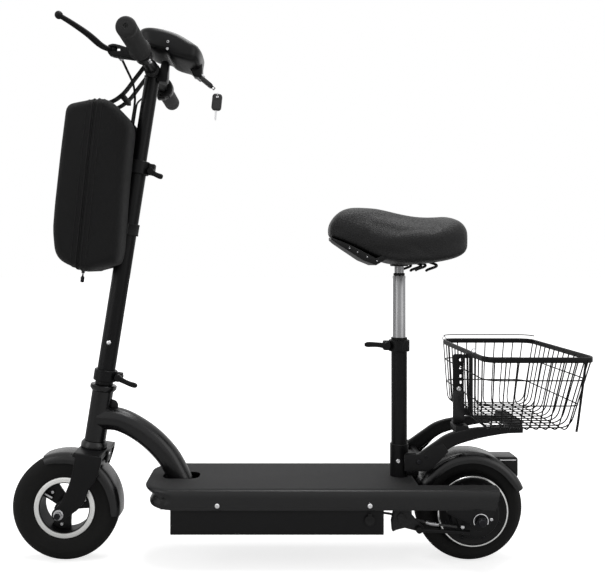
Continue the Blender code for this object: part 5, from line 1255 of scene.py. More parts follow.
def cam_lever(name, lever, length, swing):
    """A lever for the clamp ears; it rides on the body and replaces the node of one name."""
    pin = rod(0.003, -ear_half - 0.003, ear_half + 0.002, 0.0004)
    cam = rod(0.007, ear_half + 0.0003, ear_half + 0.011, 0.0012)
    nut = rod(0.0055, -ear_half - 0.006, -ear_half - 0.0003, 0.0008, 24)
    for piece in (pin, cam, nut):
        placed(piece, across_axle)
    bend = smooth_route([(0.001, ear_half + 0.007, 0), (length * 0.35, ear_half + 0.0074, 0.0008),
                        (length * 0.7, ear_half + 0.009, 0.0002), (length, ear_half + 0.0086, -0.0016)], 14)
    widths = [1.0, 0.98, 0.94, 0.9, 0.87, 0.85, 0.84, 0.84, 0.86, 0.88, 0.9, 0.92, 0.9, 0.8, 0.45]
    handle = swept(bend, round_rectangle(0.0055, 0.011, 0.002, 4), (0, 1, 0), widths)
    place = Matrix.Translation(pivot(lever + "_swing")) @ Matrix.Rotation(swing, 4, "Y")
    dress(name, [cam, handle, pin, nut], lever, "black_paint", black_coat, lever, frame=place)


cam_lever("stem_base_cam_lever", "stem_base_lever", 0.04, radians(165) - steering_lean)
cam_lever("stem_cam_lever", "stem_clamp_lever", 0.026, radians(160) - steering_lean)
button = turned(mm((0, 16), (4.4, 16), (4.4, 17.8), (3.8, 19), (2.2, 19.8), (0, 20.2)), 32)
shank = rod(0.0044, 0.005, 0.0162, 0.0003, 24)
dress("catch_button", [button, shank], "stem_button", "steel", bright_steel, "stem_button",
      frame=steering_frame @ moved(0, 0, 0.3222) @ across_axle, angle=40)


# %% [markdown]
# ## Upper stem and handlebar
# The upper tube is welded to the middle of a straight steel bar. A cast bracket behind
# the bar carries the display.

# %% Upper stem and bar
bar_radius = 0.011
bar_half = 0.278
# From the axle's foot up the steering axis to the bar
bar_rise = 0.8471
tube_in_tube = 0.15
tube = turned(tube_profile(upper_radius, 0.012, stem_top - tube_in_tube - bar_rise, 0.004), 56)
placed(tube, stem_turn)
cross = placed(turned(tube_profile(bar_radius, 0.009, -bar_half, bar_half), 48), across_axle)
weld = turned([(upper_radius - 0.001, -0.0135), (upper_radius + 0.0016, -0.012),
              (upper_radius + 0.002, -0.0105), (upper_radius, -0.009)], 56)
placed(weld, stem_turn)
arm = plate(mm((-8, -20), (-25, -22), (-28.5, -17), (-29, -10), (-30, 18), (-18, 18), (-15, 6), (-12.5, 0)),
            -0.013, 0.013, 0.0014, 3)
cut_away(arm, placed(rod(bar_radius + 0.0002, -0.02, 0.02), across_axle))
clip = turned(tube_profile(bar_radius + 0.004, bar_radius - 0.0002, -0.013, 0.013, 0.001), 48)
placed(clip, across_axle)
dress("bar_and_upper_stem", [tube, cross, weld, arm, clip], "handlebar", "black_paint", black_coat,
      "handlebar", frame=bar_frame)


# %% [markdown]
# ## Grips
# The left grip and the twist grip are the same soft rubber sleeve: a flange towards the
# middle of the bar, shallow ribs for the palm and a domed end with a small hole in it.
# The ribs are rings in the turned outline.

# %% Grips
grip_length = 0.13
grip_start = bar_half - grip_length + 0.003


def raised(points, height):
    """A profile's points, so much further along its axis."""
    return [(radius, along + height) for radius, along in points]


def grip_outline():
    """The sleeve's profile, from its flange out over the ribs to its end and back inside."""
    end = grip_start + grip_length
    points = raised(mm((11.3, 0), (19, 0), (19.3, 0.8), (19.3, 2.6), (18, 4.5), (16.4, 7)), grip_start)
    ribs = 26
    first, last = grip_start + 0.01, end - 0.015
    for index in range(ribs):
        points += raised(mm((16.2, -1.2), (16.7, -0.6), (16.7, 0.6), (16.2, 1.2)), first + (
            last - first) * index / (ribs - 1))
    return points + raised(
        mm((16.8, -12), (16.8, -5.5), (16, -2.5), (13.8, -0.6), (10.8, 0), (4.5, 0), (3.8, -0.6),
        (3.4, -1.6), (1, -1.6), (1, -2.5), (11.3, -2.5)), end)


# Z laid along the bar, towards the right side
to_right = turn(90, "X")
dress("left_grip_rubber", turned(grip_outline(), 48), "handlebar", "grip_rubber", grip_rubber, "left_grip",
      frame=bar_frame @ across_axle, angle=40)
dress("twist_grip_rubber", turned(grip_outline(), 48), "throttle_grip", "grip_rubber", pale_rubber,
      "throttle_grip", frame=bar_frame @ to_right, angle=40)

# %% Throttle housing
inner = grip_start - 0.0303
housing = turned(
    raised(mm((11.3, 0), (18, 0), (19.8, 1), (21, 3), (21, 12), (20.3, 12.6), (20.3, 13.6), (21, 14.2)),
    inner) + raised(mm((21, -5), (20, -1.8), (18, -0.3), (11.3, -0.3)), grip_start), 48)
placed(housing, to_right)
boss = block((-0.005, -grip_start + 0.006, -0.0235), (0.012, -inner - 0.0045, -0.012), 0.002, 3)
screws = [
    socket_bolt(0.0024, 0.0012, (-0.012, -inner - y, -0.0168), (-0.45, 0, -0.9)) for y in (0.007, 0.022)]
dress("throttle_body", [housing, boss, *screws], "handlebar", "black_plastic", housing_plastic,
      "throttle_housing", frame=bar_frame)


# %% [markdown]
# ## The brake lever
# The perch is a casting clamped on the bar. Its two ears hold the lever's pin, and the
# cable leaves it through a knurled adjuster. The lever is a forged blade, flatter than it
# is wide, that ends in a ball, so it is a section swept along a curve and slimmed on the
# way.

# %% Brake perch
lever_y = 0.12
lever_axis = pivot("brake_lever_pull")
perch_collar = placed(
    turned(tube_profile(0.0158, 0.0113, lever_y - 0.012, lever_y + 0.012, 0.0012), 56), across_axle)
perch_outline = mm((12.8, -9.5), (24, -7.8), (38, -6), (52, -3.5), (59, -1), (
    61.2, 4), (61.5, 11), (59, 15.5), (53, 17), (47, 17), (38, 14.8), (30, 12), (20, 10.4), (12.8, 9))
perch_arm = plate(perch_outline, lever_y - 0.0095, lever_y + 0.0095, 0.0022, 3)
cut_away(perch_arm, block((0.038, lever_y - 0.02, 0.004), (0.07, lever_y + 0.02, 0.013)))
cut_away(perch_collar, block((-0.017, lever_y - 0.0123, -0.0006), (-0.0105, lever_y + 0.0123, 0.0006)))
dress("brake_perch_casting", [perch_collar, perch_arm], "handlebar", "black_plastic", satin_coat,
      "brake_perch", frame=bar_frame)

barrel_points = mm((2.3, 0), (4.5, 0), (4.5, 1.5))
for index in range(6):
    low = 0.0018 + index * 0.0016
    barrel_points += [(0.0045, low), (0.0041, low + 0.0004), (0.0041, low + 0.0008), (0.0045, low + 0.0012)]
barrel_points += mm((4.5, 13.5), (3.6, 14.5), (3.6, 16), (2.3, 16))
adjuster = turned(barrel_points, 36)
placed(adjuster, moved(0.042, lever_y - 0.0085, -0.001) @ to_right)
pinch = [
    socket_bolt(0.003, 0.0026, (-0.012, lever_y + y, -0.0112), (-0.5, 0, -0.85)) for y in (-0.0065, 0.0065)]
dress("cable_adjuster", [adjuster, *pinch], "handlebar", "steel", zinc, frame=bar_frame)

# %% Brake lever
blade_route = smooth_route(
    mm((0, -4, 0), (8.5, 10, -0.6), (17, 27, 1), (29.5, 64, 8), (45, 98, 14.2), (60.4, 128, 19)), 28)
blade_section = [(0.0068 * cos(a), 0.006 * sin(a)) for a in (2 * pi * step / 20 for step in range(20))]
blade_scales = [min(0.7 + 0.022 * index, 1.06 - 0.015 * index) for index in range(29)]
blade = swept(blade_route, blade_section, (0.9, -0.3, 0), blade_scales)
lever_boss = turned(mm((0, -4.2), (6.2, -4.2), (7, -3.4), (7, 3.4), (6.2, 4.2), (0, 4.2)), 40)
lever_pin = turned(mm((0, -12), (2.2, -12), (2.2, 8.8), (3.4, 9), (3.4, 10.2), (2.6, 10.8), (0, 11)), 28)
clear_selection()
bpy.ops.mesh.primitive_uv_sphere_add(segments=32, ring_count=16, radius=0.0066, location=blade_route[-1])
lever_ball = bpy.context.object
bpy.ops.object.transform_apply(location=True, rotation=True, scale=True)
dress("brake_lever_blade", [blade, lever_boss, lever_ball], "brake_lever", "black_paint", satin_coat,
      "brake_lever", frame=moved(*lever_axis), angle=50)
dress("brake_lever_pin", lever_pin, "brake_lever", "steel", zinc, frame=moved(*lever_axis))


# %% [markdown]
# ## The display
# The instrument housing is a smooth plastic pod that curves over the bar towards the
# rider. A nose below its rear edge holds the lock, each cheek has two screws, and a dark
# lens is let into its top. Its side profile is scaled and lofted across the bar, so that
# its cheeks round off.

# %% Display pod
pod_top = mm((21.5, 64), (
    16, 70.8), (4, 73), (-14, 71.2), (-34.5, 66.4), (-55.5, 58.8), (-76, 46.8), (-90, 37), (-96, 29))
pod_base = mm(
    (-95.5, 20), (-93, 9), (-87, 3.5), (-78, 2.5), (-56, 8), (-40, 14), (-28, 23), (0, 29), (18, 42))
pod_half = 0.062
pod_side = pod_top + pod_base
pod_outline = cast_outline(pod_side, 4)
middle_x, middle_z = (sum(values) / len(pod_side) for values in zip(*pod_side))
# Share of the half width, and the outline's scale there
pod_layers = [(1.0, 0.55), (0.985, 0.66), (0.96, 0.745), (
    0.92, 0.82), (0.86, 0.878), (0.78, 0.925), (0.68, 0.96), (0.5, 0.985), (0.25, 0.998), (0.0, 1.0)]
rings = []
for side, layers in ((-1, pod_layers), (1, pod_layers[-2::-1])):
    for share, scale in layers:
        rings.append([(middle_x + (x - middle_x) * scale, side * pod_half * share,
                     middle_z + (z - middle_z) * scale) for x, z in pod_outline])
lens_half = pod_half * 0.6
pod = cut_away(lofted(
    rings), block((-0.0322, -0.0136, -0.03), (-0.01, 0.0136, 0.0186)), plate([(x, z - 0.003) for x,
    z in pod_top[3:8]] + [(x, z + 0.01) for x, z in reversed(pod_top[3:8])], -lens_half, lens_half))
lock_turn = turn(-130, "Y")
lock_place = moved(-0.088, 0, -0.008) @ lock_turn
nose = plate(mm(
    (-95.5, 14), (-95, -4), (-90.5, -12.8), (-79, -11.2), (-72, 3), (-70, 14)), -0.0125, 0.0125, 0.0025, 3)
for piece in (pod, nose):
    cut_away(piece, placed(rod(0.0078, -0.012, 0.05), lock_place))
dress("display_pod", [pod, nose], "handlebar", "black_plastic", housing_plastic, "display_housing",
      frame=bar_frame, angle=50)

face = [(-0.0146, 0.0711)] + pod_top[4:7] + [(-0.0895, 0.0374)]
lens = plate([(x, z - 0.0024) for x, z in face] + [
    (x, z + 0.0006) for x, z in reversed(face)], -lens_half + 0.0003, lens_half - 0.0003, 0.0006)
dress("display_glass", lens, "handlebar", "clear_plastic", lens_gloss, "display_lens", frame=bar_frame,
      angle=30)
cheek_screws = []
for x, z in mm((-36.3, 40), (-35.3, 27)):
    screw = socket_bolt(0.0026, 0.0016, (x, pod_half - 0.0006, z), (0.05, 1, 0))
    cheek_screws += [screw, mirrored(screw)]
dress("pod_screws", cheek_screws, "handlebar", "steel", zinc, frame=bar_frame)


# %% [markdown]
# ## Lock and keys
# The ignition lock is a small steel barrel in the pod's nose. Its key has a plastic head
# and a flat blade, and the spare hangs from it on a split ring.

# %% Lock and keys
lock = turned(mm((0, -11), (7.2, -11), (7.5, -10.6), (7.5, 7.8), (6.8, 8.9), (3.4, 9), (3, 8.4), (3, -9.5),
              (0, -9.5)), 40)
dress("lock_barrel", lock, "handlebar", "steel", zinc, "key_lock", frame=bar_frame @ lock_place)


def key_head(width=0.018, hole=0.0027):
    """A key's moulded head with its hole, standing on z = 0 in the plane of X and Z."""
    outline = [(x, z + 0.016) for x, z in round_rectangle(width, 0.032, 0.006, 5)]
    head = plate(outline, -0.004, 0.004, 0.0014, 3)
    eye = placed(rod(hole, -0.02, 0.02), moved(0, 0, 0.0265) @ across_axle)
    panel = plate([(x, z + 0.013) for x, z in round_rectangle(0.012, 0.018, 0.004, 4)], 0.0034, 0.006)
    return cut_away(head, eye, panel, mirrored(panel))


def key_blade():
    """The flat steel blade below the head, with its teeth."""
    teeth = mm((2.2, -2), (2.2, -5), (1.4, -6), (2.2, -7.2), (1.2, -9), (2, -10.4), (1.1, -12.2),
               (2.1, -13.8), (1.4, -16), (0.2, -19))
    outline = [(0.0022, 0.001)] + teeth + mm((-1.2, -18.6), (-2.2, -17.2), (-2.2, 1))
    return plate(outline, -0.0008, 0.0008)


key_place = Matrix.Translation(pivot("key_turn")) @ lock_turn @ turn(90, "Z")
head = key_head()
tab = block((-0.0008, -0.003, 0.031), (0.0008, 0.003, 0.039), 0.0004)
cut_away(tab, placed(rod(0.002, -0.01, 0.01), moved(0, 0, 0.0355) @ turn(90, "Y")))
dress("key_head", [head, tab], "key", "black_plastic", key_plastic, "key", frame=key_place)
dress("key_blade", key_blade(), "key", "steel", bright_steel, frame=key_place)
ring_radius = 0.0062
ring_top = pivot("spare_key_swing")
ring = torus(ring_radius, 0.0007, 48, 12, ring_top - Vector((0, 0, ring_radius)), (0, pi / 2, 0))
spare_place = (Matrix.Translation(
    ring_top + Vector((0, 0, -2 * ring_radius + 0.0023))) @ turn(-6, "Y") @ moved(0, 0, -0.0265))
spare_blade = placed(key_blade(), spare_place)
dress("key_ring", [ring, spare_blade], "spare_key", "steel", bright_steel, angle=50)
dress("spare_key_head", key_head(0.019), "spare_key", "black_plastic", key_plastic, "spare_key",
      frame=spare_place)


# %% [markdown]
# ## The bag
# A hard-shell fabric bag hangs in front of the stem. It is two moulded halves, each a
# rounded dish covered with woven cloth, closed by a zip whose tape runs all round the
# seam between two lines of piping. One side outline is scaled and lofted across the
# bag's width, and a plane cuts that form into its two halves.

# %% Bag form
bag_half = 0.085
bag_seam = 0.003
bag_wall = 0.004
bag_points = mm((59.1, 144.1), (3.7, 161), (-14.7, 161), (-30.1, 153.5), (-56.7, 128.6), (
    -64, 111), (-64.5, 6.1), (-68.1, -113), (-66, -135.3), (-61.2, -142.3), (-22.1, -154.7), (-7.9,
    -160.7), (7, -157.8), (39.5, -146.4), (52.2, -131.2), (60.3, -89.7), (61.4, -43.9), (60.9, 57.4))


def eased_outline(points, reach, steps=4):
    """Rounds each corner of a closed outline by an arc that starts so far from it."""
    eased = []
    for before, corner, after in zip(points[-1:] + points[:-1], points, points[1:] + points[:1]):
        here = Vector(corner)
        back, on = Vector(before) - here, Vector(after) - here
        start = here + back.normalized() * min(reach, back.length * 0.45)
        end = here + on.normalized() * min(reach, on.length * 0.45)
        for step in range(steps + 1):
            t = step / steps
            eased.append(tuple(start * (1 - t) ** 2 + here * 2 * t * (1 - t) + end * t ** 2))
    return eased


bag_side = eased_outline(bag_points, 0.014)
# Share of the half width, and the outline's scale there
bag_layers = [(1.0, 0.76), (0.995, 0.8), (0.98, 0.845), (
    0.955, 0.885), (0.93, 0.915), (0.89, 0.945), (0.84, 0.97), (0.79, 0.985), (0.7, 0.996), (0.6, 1.0)]


# The drawn outline's height, brought to that of the CAD's bag
bag_fit = 0.32 / 0.3217


def bag_ring(y, scale, shrink):
    """The side outline, scaled and shrunk, in the plane at y."""
    forward = scale - shrink / 0.062
    up = (1 - (1 - scale) * 0.4 - shrink / 0.155) * bag_fit
    return [(a * forward, y, c * up) for a, c in bag_side]


def bag_form(shrink):
    """The bag's whole form, made smaller all round by some thickness."""
    half = bag_half - shrink
    rings = [bag_ring(-half * share, scale, shrink) for share, scale in bag_layers]
    rings += [bag_ring(half * share, scale, shrink) for share, scale in reversed(bag_layers)]
    return lofted(rings)


# The stem's axis as the bag's frame has it
stem_line = Matrix.Rotation(bag_lean, 4, "Y") @ Matrix.Translation(bar_centre - bag_centre) @ stem_turn
stem_guard = placed(rod(0.0275, -0.45, 0.1), stem_line)
cord_guard = placed(block((0, -0.016, -0.12), (0.0308, 0.016, 0.1)), stem_line)
stem_channel = placed(rod(0.0235, -0.45, 0.1, 0.0005, 48), stem_line)
cord_groove = placed(block((0, -0.012, -0.116), (0.0268, 0.012, 0.1)), stem_line)
room = cut_away(bag_form(bag_wall), stem_guard, cord_guard)
rear_shell = cut_away(
    bag_form(0), block((bag_seam - 0.0035, -0.2, -0.3), (0.2, 0.2, 0.3)), room, stem_channel, cord_groove)
front_shell = cut_away(
    bag_form(0), block((-0.2, -0.2, -0.3), (bag_seam + 0.004, 0.2, 0.3)), bag_form(bag_wall))
dress("bag_rear_cloth", rear_shell, "handlebar", "fabric", bag_cloth, frame=bag_frame, angle=40)
dress("bag_front_cloth", front_shell, "bag_lid", "fabric", bag_cloth, frame=bag_frame, angle=40)


# %% [markdown]
# ## Zip and piping
# Along the seam run the zip's two tapes, slightly inside the shells, the row of teeth
# between them, and a cord of piping on each shell's edge. All of them follow the form's
# own outline at the seam, which is read from the same layers as the shells.

# %% Zip and piping
def outline_at(forward, shrink):
    """The closed line round the bag in the plane so far forwards, as (y, up) points."""
    highs, lows = [], []
    for share, scale in bag_layers:
        side = bag_ring(0, scale, shrink)
        crossings = [c0 + (c1 - c0) * (forward - a0) / (a1 - a0) for (a0, _, c0), (a1, _, c1) in zip(
            side, side[1:] + side[:1]) if (a0 - forward) * (a1 - forward) <= 0 and a0 != a1]
        y = share * (bag_half - shrink)
        highs.append((y, max(crossings)))
        lows.append((y, min(crossings)))
    return [(-y, c) for y, c in highs] + highs[::-1] + lows + flipped_side(lows)


def cord_round(forward, radius, shrink=0.0):
    """A round cord that follows the bag's outline in one plane."""
    return wires([[(forward, y, c) for y, c in outline_at(forward, shrink)]], radius, cyclic=True)


piping = [cord_round(bag_seam - 0.004, 0.0013), cord_round(bag_seam - 0.013, 0.0008),
          cord_round(bag_seam - 0.0013, 0.0014, 0.0016)]
dress("bag_rear_piping", piping, "handlebar", "fabric", webbing, "bag_rear_shell", frame=bag_frame,
      angle=60)
lid_piping = [cord_round(bag_seam + 0.0048, 0.0013), cord_round(
    bag_seam + 0.014, 0.0008), cord_round(bag_seam + 0.002, 0.0013, 0.0016)]
dress("bag_front_piping", lid_piping, "bag_lid", "fabric", webbing, "bag_front_shell", frame=bag_frame,
      angle=60)


# %% [markdown]
# ## Straps
# Two webbing straps loop over the bar and meet the bag's top edge with a cross strap
# between them, and a third one holds the bag's middle to the stem. Webbing is a flat
# section carried along the route, with a rolled hem on each side.

# %% Straps
strap_half = 0.0115
strap_section = [(-strap_half, -0.0006), (-strap_half + 0.0006, -0.001), (
    strap_half - 0.0006, -0.001), (strap_half, -0.0006), (strap_half, 0.0006), (strap_half - 0.0006,
    0.001), (strap_half - 0.0026, 0.001), (strap_half - 0.003, 0.0005), (-strap_half + 0.003,
    0.0005), (-strap_half + 0.0026, 0.001), (-strap_half + 0.0006, 0.001), (-strap_half, 0.0006)]
strap_points = mm((12.5, 0, 3), (30, 0, -20), (52, 0, -48), (74, 0, -63.2), (90, 0, -63.3))
straps = []
for y in (-0.028, 0.028):
    route = smooth_route([(x, y, z) for x, _, z in strap_points], 24)
    straps.append(swept(route, strap_section))
    loop = turned([(0.0113, -strap_half), (0.0134, -strap_half), (0.0137, -strap_half + 0.0008),
                  (0.0137, strap_half - 0.0008), (0.0134, strap_half), (0.0113, strap_half)], 48)
    straps.append(placed(loop, moved(0, y, 0) @ across_axle))
straps.append(block((0.049, -0.034, -0.058), (0.057, 0.034, -0.049), 0.001, 2))
dress("bag_straps", straps, "handlebar", "fabric", webbing, "bag_upper_strap", frame=bar_frame, angle=40)
half_hoop = mm((19.9, 7.8), (20.3, 8.4), (20.3, 10.4), (19.9, 11), (17.6, 11))
hoop = turned(flipped(half_hoop) + half_hoop, 48)
tab = block((-0.003, 0.0186, -0.01), (0.003, 0.0255, 0.01), 0.0008)
dress("stem_strap", [hoop, tab, mirrored(tab)], "handlebar", "fabric", webbing,
      frame=bar_frame @ stem_turn @ moved(0, 0, 0.541 - bar_rise), angle=40)

# %% Zip slider and pull
base = -0.1607 * bag_fit
slider = block(
    (bag_seam - 0.005, 0.0465, base - 0.0032), (bag_seam - 0.0002, 0.0535, base + 0.0015), 0.0008, 3)
dress("zip_slider", slider, "handlebar", "steel", dark_steel, frame=bag_frame, angle=40)
tag = plate(arc((0, 0), 0.0012, 0, 180, 8) + mm(
    (-1.4, -4), (-3, -5.6), (-3.4, -7.5), (-3.4, -14), (-2.8, -15.4), (-1.6, -16), (1.6, -16), (2.8, -15.4),
    (3.4, -14), (3.4, -7.5), (3, -5.6), (1.4, -4)), -0.0011, 0.0011, 0.0004)
dress("zip_tag", tag, "zip_pull", "black_plastic", dark_steel, "zip_pull",
      frame=Matrix.Translation(pivot("zip_pull_swing")) @ Matrix.Rotation(-bag_lean, 4, "Y"), angle=40)


# %% [markdown]
# ## Seat tube, clamp and post
# The seat post is drawn aluminium tube in a black steel one, held by a collar like the
# stem's. The post is necked down at its top into the pin that carries the saddle.

# %% Seat tube and post
seat_frame = moved(seat_x, 0, seat_tube_top)
tube_foot = deck_bottom + 0.0146 - seat_tube_top
tube = turned(tube_profile(0.015, 0.0127, tube_foot, 0.0, 0.0005), 56)
dress("seat_tube_steel", tube, "frame", "black_paint", black_coat, "seat_tube", frame=seat_frame)
collar("seat_collar", "seat_clamp", "frame", seat_frame, 0.0153, -0.022, 0.0, 1, (0.0125, 0.0045))
cam_lever("seat_cam_lever", "seat_clamp_lever", 0.043, radians(-6))
post_low = 0.315 - seat_tube_top
post_high = 0.5416 - seat_tube_top
pin_high = post_high + 0.0224
post = turned(
    [(0, post_high - 0.006), (0.0102, post_high - 0.006), (0.0102, post_low), (0.0122, post_low),
    (0.0122, post_high - 0.0012), (0.0117, post_high - 0.0003), (0.0109, post_high), (0.0088, post_high),
    (0.0088, pin_high - 0.0008), (0.008, pin_high), (0, pin_high)], 64)
dress("seat_post_tube", post, "seat", "silver", post_metal, "seat_post", frame=seat_frame)

# %% Saddle clamp, pan and springs
clamp_low = post_high + 0.003
roof = 0.59 - seat_tube_top
clamp = block((-0.015, -0.017, clamp_low + 0.015), (0.015, 0.017, roof - 0.0003), 0.0022, 3)
cut_away(clamp, rod(0.0091, clamp_low - 0.01, pin_high + 0.0003, 0.0001, 48))
clamp_ring = turned(tube_profile(0.0108, 0.0091, clamp_low - 0.0027, clamp_low + 0.002, 0.0008), 48)
dress("saddle_clamp_block", [clamp, clamp_ring], "seat", "black_paint", satin_coat, "saddle_clamp",
      frame=seat_frame)

# Along the saddle: x, the height of its top and of its lower edge, its half width
saddle_stations = mm((-79, 636, 619, 25), (-83, 648, 615, 34), (-90, 658, 611, 40), (-102, 669, 606, 44), (
    -118, 674.5, 599.5, 46.5), (-140, 673.5, 588, 51), (-164, 669, 574.5, 59), (-188, 663, 564, 70), (-212,
    656.5, 561, 82), (-236, 651.5, 561.5, 91.5), (-260, 649.5, 563.5, 97), (-282, 650.5, 566.5, 99), (-302,
    652.5, 570.5, 96.5), (-318, 651.5, 576, 89), (-329, 642, 585, 76), (-334, 631, 596, 60))


def pan_ring(x, lower, half, thick):
    """The pan under one station: it hangs below the nose's edge and lies flat behind it."""
    nose = x > -0.17
    level = lower - thick if nose else 0.59
    wide = half - (0.003 if nose else 0.017)
    corner = min(0.0016, thick * 0.4)
    side = arc((wide - corner, level + corner), corner, -90, 0, 2) + arc(
        (wide - corner, level + thick - corner), corner, 0, 90, 2)
    return [(x + shift_x, y, z) for y, z in side + flipped_side(side)]


picked = saddle_stations[1:6] + saddle_stations[6:15:2]
pan_depths = [0.005, 0.007, 0.01, 0.014, 0.017, 0.013, 0.005, 0.005, 0.005, 0.005]
pan = lofted([pan_ring(x, lower, half, thick) for (x, top, lower, half), thick in zip(picked, pan_depths)])
dress("saddle_base", pan, "seat", "black_plastic", black_plastic, "saddle_pan", angle=40)
coil_low, coil_high, coil_radius, coil_steps = 0.5516, 0.5915, 0.0095, 40
coil = [(coil_radius * cos(2 * pi * step / 20), coil_radius * sin(2 * pi * step / 20),
        coil_low + (coil_high - coil_low) * step / coil_steps) for step in range(coil_steps + 1)]
coils = [wires([[(seat_x + x + a, y + b, z) for a, b, z in coil]], 0.0025, 3) for x in (-0.0225, -0.0515)
         for y in (-0.05, 0.05)]
dress("saddle_springs", coils, "seat", "black_paint", satin_coat, angle=60)
rivets = []
for x, z in mm((-115.1, 596.5), (-129.4, 589.2), (-147, 580), (-164.3, 572.5)):
    half = 0.0465 + 0.0125 * max(0, (-0.118 - x)) / 0.046
    rivet = socket_bolt(0.0014, 0.001, (x, half - 0.0026, z - 0.003), (0, 1, -0.3), 0.2)
    rivets += [rivet, mirrored(rivet)]
dress("pan_rivets", rivets, "seat", "steel", zinc, angle=40)


# %% [markdown]
# ## The saddle's cushion
# Foam under vinyl. It starts as the loft of the saddle's stations, a little smaller than
# the real one, with its underside left as the pan holds it. A cloth simulation then
# presses the skin outwards like the foam does, which rounds every edge alike.

# %% Cushion
def cushion_ring(station, inset):
    """The foam's outline at one station, narrower at the top than at its sides."""
    x, top, lower, half = station
    height = top - lower
    wide = half - inset
    shares = [(1.0, 0.0), (0.97, 0.14), (0.965, 0.38), (0.985, 0.6), (0.93, 0.77), (0.8, 0.89),
              (0.58, 0.965), (0.3, 1.0), (0.0, 1.0)]
    side = [(wide * share, lower + (height - inset) * rise) for share, rise in shares]
    return [(x + shift_x, y, z) for y, z in side + flipped_side(side[:-1])]


def swollen(piece, pinned, pressure, cap):
    """Presses a closed skin outwards from within, holding the points that are pinned."""
    choose(piece)
    starts = [point.co.copy() for point in piece.data.vertices]
    held = piece.vertex_groups.new(name="held")
    held.add([point.index for point in piece.data.vertices if pinned(point)], 1.0, "REPLACE")
    bpy.ops.object.modifier_add(type="CLOTH")
    cloth = piece.modifiers[-1]
    cloth.settings.quality = 5
    cloth.settings.use_pressure = True
    cloth.settings.uniform_pressure_force = pressure
    cloth.settings.effector_weights.gravity = 0
    cloth.settings.vertex_group_mass = "held"
    cloth.settings.tension_stiffness = cloth.settings.compression_stiffness = 20
    for number in range(1, 21):
        bpy.context.scene.frame_set(number)
    bpy.ops.object.modifier_apply(modifier=cloth.name)
    bpy.context.scene.frame_set(1)
    furthest = 0
    for point, start in zip(piece.data.vertices, starts):
        move = point.co - start
        furthest = max(furthest, move.length)
        if move.length > cap:
            point.co = start + move * (cap / move.length)
    print(piece.name, "swelled by up to", round(furthest * 1000, 1), "mm, capped at", cap * 1000)
    return piece


cushion = lofted([cushion_ring(station, 0.0028) for station in saddle_stations])
use(cushion, "SUBSURF", levels=2, render_levels=2, subdivision_type="CATMULL_CLARK")
use(cushion, "REMESH", mode="VOXEL", voxel_size=0.0045, use_smooth_shade=True)
swollen(cushion, lambda point: point.normal.z < -0.5, 4.0, 0.005)
use(cushion, "SMOOTH", factor=0.5, iterations=3)
use(cushion, "SUBSURF", levels=1, render_levels=1, subdivision_type="CATMULL_CLARK")
dress("saddle_cushion_skin", cushion, "seat", "vinyl", saddle_vinyl, "saddle_cushion", angle=60)


# %% [markdown]
# ## The rack
# A steel sleeve slides over the seat tube. From it a gusset and two curved flat tubes run
# back and carry the basket, getting slimmer on the way, with a small foot plate for its
# bracket in front and a beam behind.

# %% Rack
rack_half = 0.052
sleeve_top = 0.22
rack_route = shifted(
    mm((-224, 188), (-248, 201), (-278, 222), (-305, 239), (-346.7, 250), (-396, 256), (-436, 256)))
rack_steps = 40
# Share of the way back, and the tube's scale there
rack_shares = [(0, 1), (0.375, 1), (0.5, 0.96), (0.625, 0.82), (0.75, 0.68), (0.875, 0.52), (1, 0.4)]
scales = [read_at(rack_shares, step / rack_steps) for step in range(rack_steps + 1)]
pieces = [swept(smooth_route([(x, y, z) for x, z in rack_route], rack_steps),
          round_rectangle(0.014, 0.025, 0.004, 4), scales=scales) for y in (rack_half, -rack_half)]
sleeve_foot = deck_bottom + 0.0143
pieces.append(
    placed(turned(tube_profile(0.0175, 0.0154, sleeve_foot, sleeve_top, 0.001), 56), moved(seat_x, 0, 0)))
gusset = block((seat_x - 0.03, -0.015, 0.18), (seat_x + 0.006, 0.015, 0.204), 0.0022, 3)
pieces.append(
    block((seat_x - 0.04, -rack_half - 0.006, 0.18), (seat_x - 0.029, rack_half + 0.006, 0.204), 0.0022, 3))
cheek_outline = mm((-214.5, 181.2), (-214.5, 212), (
    -246.6, 213.1), (-260.9, 223.5), (-285, 233), (-296, 218), (-280.1, 200.4), (-258.9, 181.2))
cheek = plate(cheek_outline, rack_half + 0.005, rack_half + 0.0079, 0.001)
pieces += [cheek, mirrored(cheek)]
bore = placed(rod(0.0154, 0.1, 0.3, 0.0005, 48), moved(seat_x, 0, 0))
pieces.append(cut_away(gusset, bore))
bracket_x = -0.312 + shift_x
pieces.append(
    block((bracket_x - 0.0235, 0.012, 0.25), (bracket_x + 0.001, rack_half + 0.005, 0.264), 0.0016))
beam_x = -0.436 + shift_x
pieces.append(
    block((beam_x + 0.001, -rack_half - 0.004, 0.254), (beam_x + 0.02, rack_half + 0.004, 0.2717), 0.0016))
for y in (0.023, -0.023):
    pieces.append(block((seat_x - 0.033, y - 0.002, 0.164), (seat_x - 0.01, y + 0.002, 0.18), 0.0008))
dress("rack_steel", pieces, "frame", "black_paint", black_coat, "rack_frame")
bolts = [socket_bolt(0.0048, 0.003, (-0.242 + shift_x, 0.06, 0.199), (0, 1, 0)),
         socket_bolt(0.003, 0.0022, (-0.2553 + shift_x, 0.059, 0.2085), (0, 1, 0))]
dress("rack_bolts", [*bolts, *[mirrored(bolt) for bolt in bolts]], "frame", "steel", dark_steel)
sleeve_screw = socket_bolt(0.0042, 0.0034, (-0.2113 + shift_x, 0.016, 0.1893), (0, 1, 0), 0.3)
dress("sleeve_screw", sleeve_screw, "frame", "steel", bright_steel)


# %% [markdown]
# ## The basket's bracket
# A perforated strip and a second upright hold the basket's front wall. The strip is
# drilled with a row of holes so that the basket can be set higher or lower, and one
# bright bolt clamps it to the plate below.

